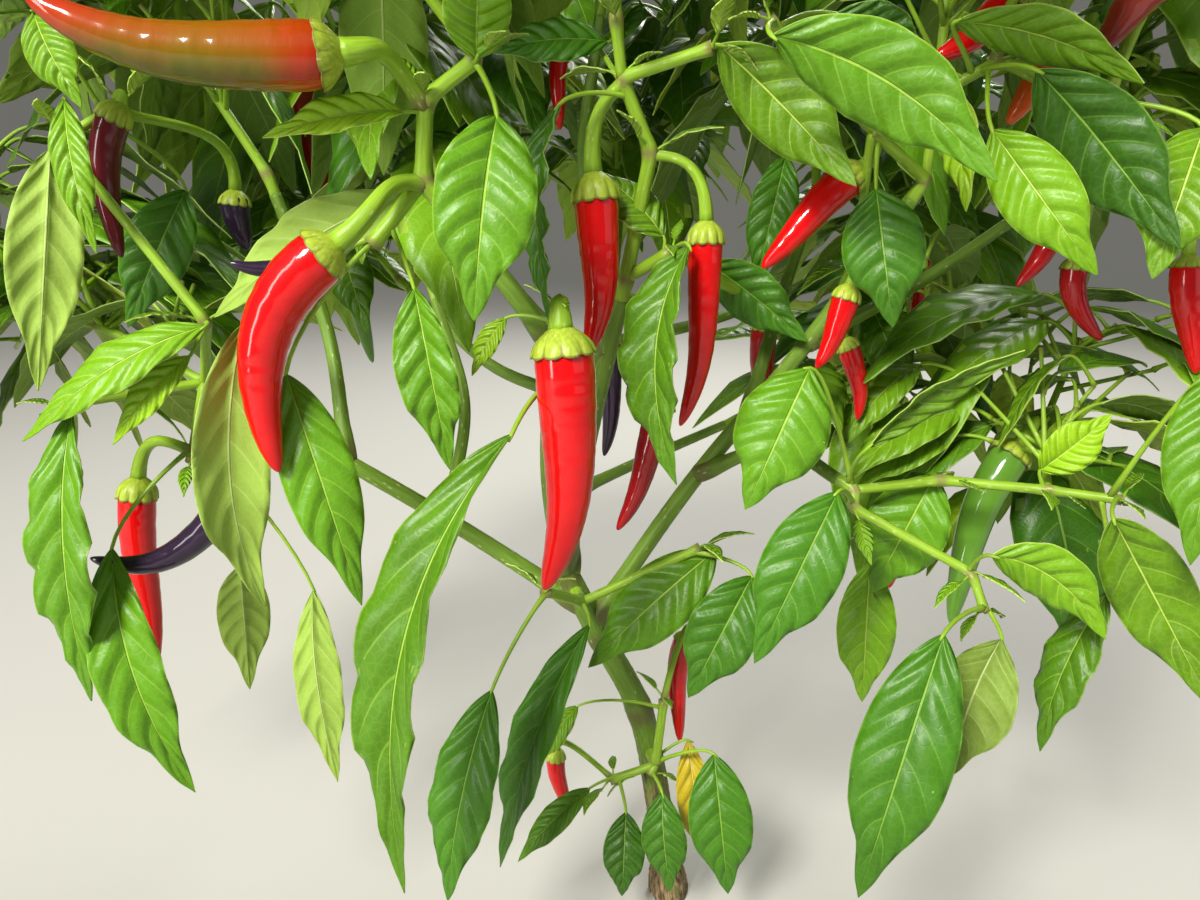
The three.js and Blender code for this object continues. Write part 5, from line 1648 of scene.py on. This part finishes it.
def fruit_skin(name, colour, dark, shares=None, belly=None):
    """A fruit's skin: colour mixed with a darker one in soft clouds, fine cross wrinkles, and a clear coat.
    With shares, the colour runs through a list of colours along the fruit, and its lower side has the
    belly's."""
    skin, tree, shader = new_skin(name, Roughness=0.45, IOR=1.4, Specular_IOR_Level=0.1,
                                  Coat_Weight=0.85, Coat_Roughness=0.1)
    place = add(tree, "Attribute", attribute_name="straight").outputs["Vector"]
    cloud = add(tree, "TexNoise", {"Vector": place, "Scale": 90.0, "Detail": 3.0}).outputs[0]
    base = linear(colour)
    if shares:
        along = add(tree, "Attribute", attribute_name="along").outputs["Fac"]
        blotch = add(tree, "Math", {0: cloud, 1: 0.22, 2: along}, operation="MULTIPLY_ADD").outputs[0]
        band = add(tree, "ValToRGB", {0: blotch})
        band.color_ramp.elements[0].position = shares[0][0]
        band.color_ramp.elements[0].color = linear(shares[0][1])
        band.color_ramp.elements[1].position = shares[-1][0]
        band.color_ramp.elements[1].color = linear(shares[-1][1])
        for at, code in shares[1:-1]:
            band.color_ramp.elements.new(at).color = linear(code)
        height = add(tree, "SeparateXYZ", {0: place}).outputs[0]
        below = ramp(tree, height, 4 * MM, -5 * MM)
        onward, backward = ramp(tree, along, 0.1, 0.3), ramp(tree, along, 0.98, 0.7)
        middle = add(tree, "Math", {0: onward, 1: below}, operation="MULTIPLY").outputs[0]
        middle = add(tree, "Math", {0: backward, 1: middle}, operation="MULTIPLY").outputs[0]
        base = blend(tree, middle, band.outputs[0], linear(belly))
    mottled = blend(tree, ramp(tree, cloud, 0.35, 0.75, 0.0, 0.35), base, linear(dark))
    tree.links.new(mottled, shader.inputs["Base Color"])
    drawn = add(tree, "Mapping", {0: place, "Scale": (150.0, 150.0, 460.0)}).outputs[0]
    inputs = {"Vector": drawn, "Scale": 1.0, "Detail": 2.0, "Distortion": 0.4}
    wrinkle = add(tree, "TexNoise", inputs).outputs[0]
    bump = add(tree, "Bump", {"Strength": 0.22, "Distance": 0.6 * MM, "Height": wrinkle})
    tree.links.new(bump.outputs[0], shader.inputs["Normal"])
    return skin


FRUIT_COLOURS = {
    "red": ("#CC0309", "#A00207"), "dark red": ("#A00812", "#6C0610"), "brown red": ("#7A2416", "#4E1712"),
    "maroon": ("#5C0E1C", "#3C0A18"), "violet": ("#2B1A33", "#1A1020"), "orange": ("#D8581A", "#B53C12"),
    "green": ("#5C8A2A", "#3E6E22"),
}
fruit_skins = [fruit_skin(f"glossy chilli skin, {tint}", *pair) for tint, pair in FRUIT_COLOURS.items()]
fruit_slots = {tint: number for number, tint in enumerate(FRUIT_COLOURS)}
turning_skin = fruit_skin(
    "glossy chilli skin, turning", "#A0600C", "#8A3C0A",
    [(0.0, "#B40A04"), (0.14, "#A41404"), (0.3, "#8E4402"), (0.55, "#825402"), (0.78, "#904602"),
     (1.0, "#AA2604")],
    "#545A06")
print("fruit skins:", len(fruit_skins) + 1)

# %% [markdown]
# Put the pieces together
#
# Each kind becomes a few pieces: the limbs with their bark, the twigs, the stalks of leaves, the shown
# leaves in fine mesh, the crown's other leaves in three pieces, the youngest leaves, the turning fruit, the
# other fruits, their caps and their stalks. They take the places of the imported solids, which are hidden.

# %% Pieces
mass_nodes = list(MASSES)

surface("stem_and_boughs", limb_parts(), [bark], list(limbs))
surface("twigs", twig_parts(), [twig_skin], mass_nodes)
surface("leaf_stalks", [stalk_part(leaves)], [twig_skin], mass_nodes)

shown_leaves = [leaf for leaf in leaves if leaf["shown"]]
tiny_leaves = [leaf for leaf in leaves if leaf.get("tiny")]
crown_leaves = [leaf for leaf in leaves if not leaf["shown"] and not leaf.get("tiny")]
surface("shown_leaves", [blade_part(shown_leaves, 46, 15, leaf_slots)], leaf_skins, mass_nodes)
GROUPS = 3
for number in range(GROUPS):
    group = crown_leaves[number::GROUPS]
    surface(f"crown_leaves_{number + 1}", [blade_part(group, 14, 7, leaf_slots)], leaf_skins, mass_nodes)
surface("young_leaves", [blade_part(tiny_leaves, 10, 7, leaf_slots)], leaf_skins, mass_nodes)

turning = [fruit for fruit in fruits if fruit["tint"] == "turning"]
shown_fruits = [fruit for fruit in fruits if fruit["shown"] and fruit["tint"] != "turning"]
crown_fruits = [fruit for fruit in fruits if not fruit["shown"]]
surface("turning_fruit", [fruit_part(turning, 70, 32, {"turning": 0})], [turning_skin], mass_nodes)
fine_fruits = fruit_part(shown_fruits, 70, 28, fruit_slots)
plain_fruits = fruit_part(crown_fruits, 30, 20, fruit_slots)
surface("fruits", [fine_fruits, plain_fruits], fruit_skins, mass_nodes)
surface("fruit_caps", [cap_part(fruits)], [cap_skin], mass_nodes)
surface("fruit_stalks", [pedicel_part(fruits)], [twig_skin], mass_nodes)

# %% [markdown]
# Floor and light
#
# The plant stands on a plain pale floor, lit like an object in a studio: one soft lamp high on the left for
# the form, a tall strip lower down for long streaks on the fruits, a weaker lamp on the right, one from
# behind for the rims of the leaves, and an even pale sky that keeps the inside of the crown readable. A
# flat floor would end in a hard line behind the leaves. This one is a round sheet, flat in the middle and
# rising softly all round, as in a photographer's studio, so no line shows.

# %% A soft lamp


def lamp(name, place, size, watts, colour=(1.0, 1.0, 1.0), tall=None):
    """A soft lamp that faces the middle of the crown: a square, or a standing strip where it has a height."""
    data = bpy.data.lights.new(name, "AREA")
    data.shape = "RECTANGLE"
    data.size = size
    data.size_y = tall or size
    data.energy = watts
    data.color = colour
    lamp_object = bpy.data.objects.new(name, data)
    towards = np.array([-0.02, 0.0, 0.26]) - place
    yaw = math.atan2(towards[0], -towards[1])
    pitch = math.acos(-towards[2] / np.linalg.norm(towards))
    lamp_object.location = place
    lamp_object.rotation_euler = (pitch, 0, yaw + math.pi)
    bpy.context.scene.collection.objects.link(lamp_object)

# %% Lamps, sky and floor
lamp("key", (-0.7, -1.3, 1.4), 0.45, 54, (1.0, 0.97, 0.88))
lamp("strip", (-1.2, -1.2, 0.72), 0.28, 15, (1.0, 0.98, 0.92), tall=1.3)
lamp("fill", (1.4, -0.9, 0.9), 1.4, 4)
lamp("rim", (0.4, 1.3, 1.5), 0.7, 40, (1.0, 0.98, 0.92))

world = bpy.data.worlds.new("pale sky")
world.use_nodes = True
world.node_tree.nodes["Background"].inputs["Color"].default_value = (0.9, 0.92, 0.92, 1.0)
world.node_tree.nodes["Background"].inputs["Strength"].default_value = 0.32
bpy.context.scene.world = world
bpy.context.scene.view_settings.view_transform = "Standard"

FLOOR_FLAT = 2.2        # metres to where the floor starts to rise
FLOOR_EDGE = 6.0
FLOOR_RISE = 3.2
ring = np.concatenate([[0.003], np.linspace(0.3, FLOOR_EDGE, 40)])[:, None]
turn = 2 * np.pi * np.arange(72) / 72
height = FLOOR_RISE * np.clip((ring - FLOOR_FLAT) / (FLOOR_EDGE - FLOOR_FLAT), 0, 1) ** 2.5
floor_corners = np.stack(np.broadcast_arrays(ring * np.cos(turn), ring * np.sin(turn), height), axis=-1)
floor_quads = tube_quads(len(ring), len(turn))[:(len(ring) - 1) * len(turn)]
floor_mesh = bpy.data.meshes.new("floor")
floor_mesh.from_pydata(floor_corners.reshape(-1, 3), [], floor_quads)
floor_mesh.shade_smooth()
floor_skin, _, floor_shader = new_skin("matt pale floor", Roughness=0.9)
floor_shader.inputs["Base Color"].default_value = linear("#A9A8A3")
floor_mesh.materials.append(floor_skin)
floor = bpy.data.objects.new("floor", floor_mesh)
bpy.context.scene.collection.objects.link(floor)
print("floor:", 2 * FLOOR_EDGE, "m wide, its edge", FLOOR_RISE, "m up")
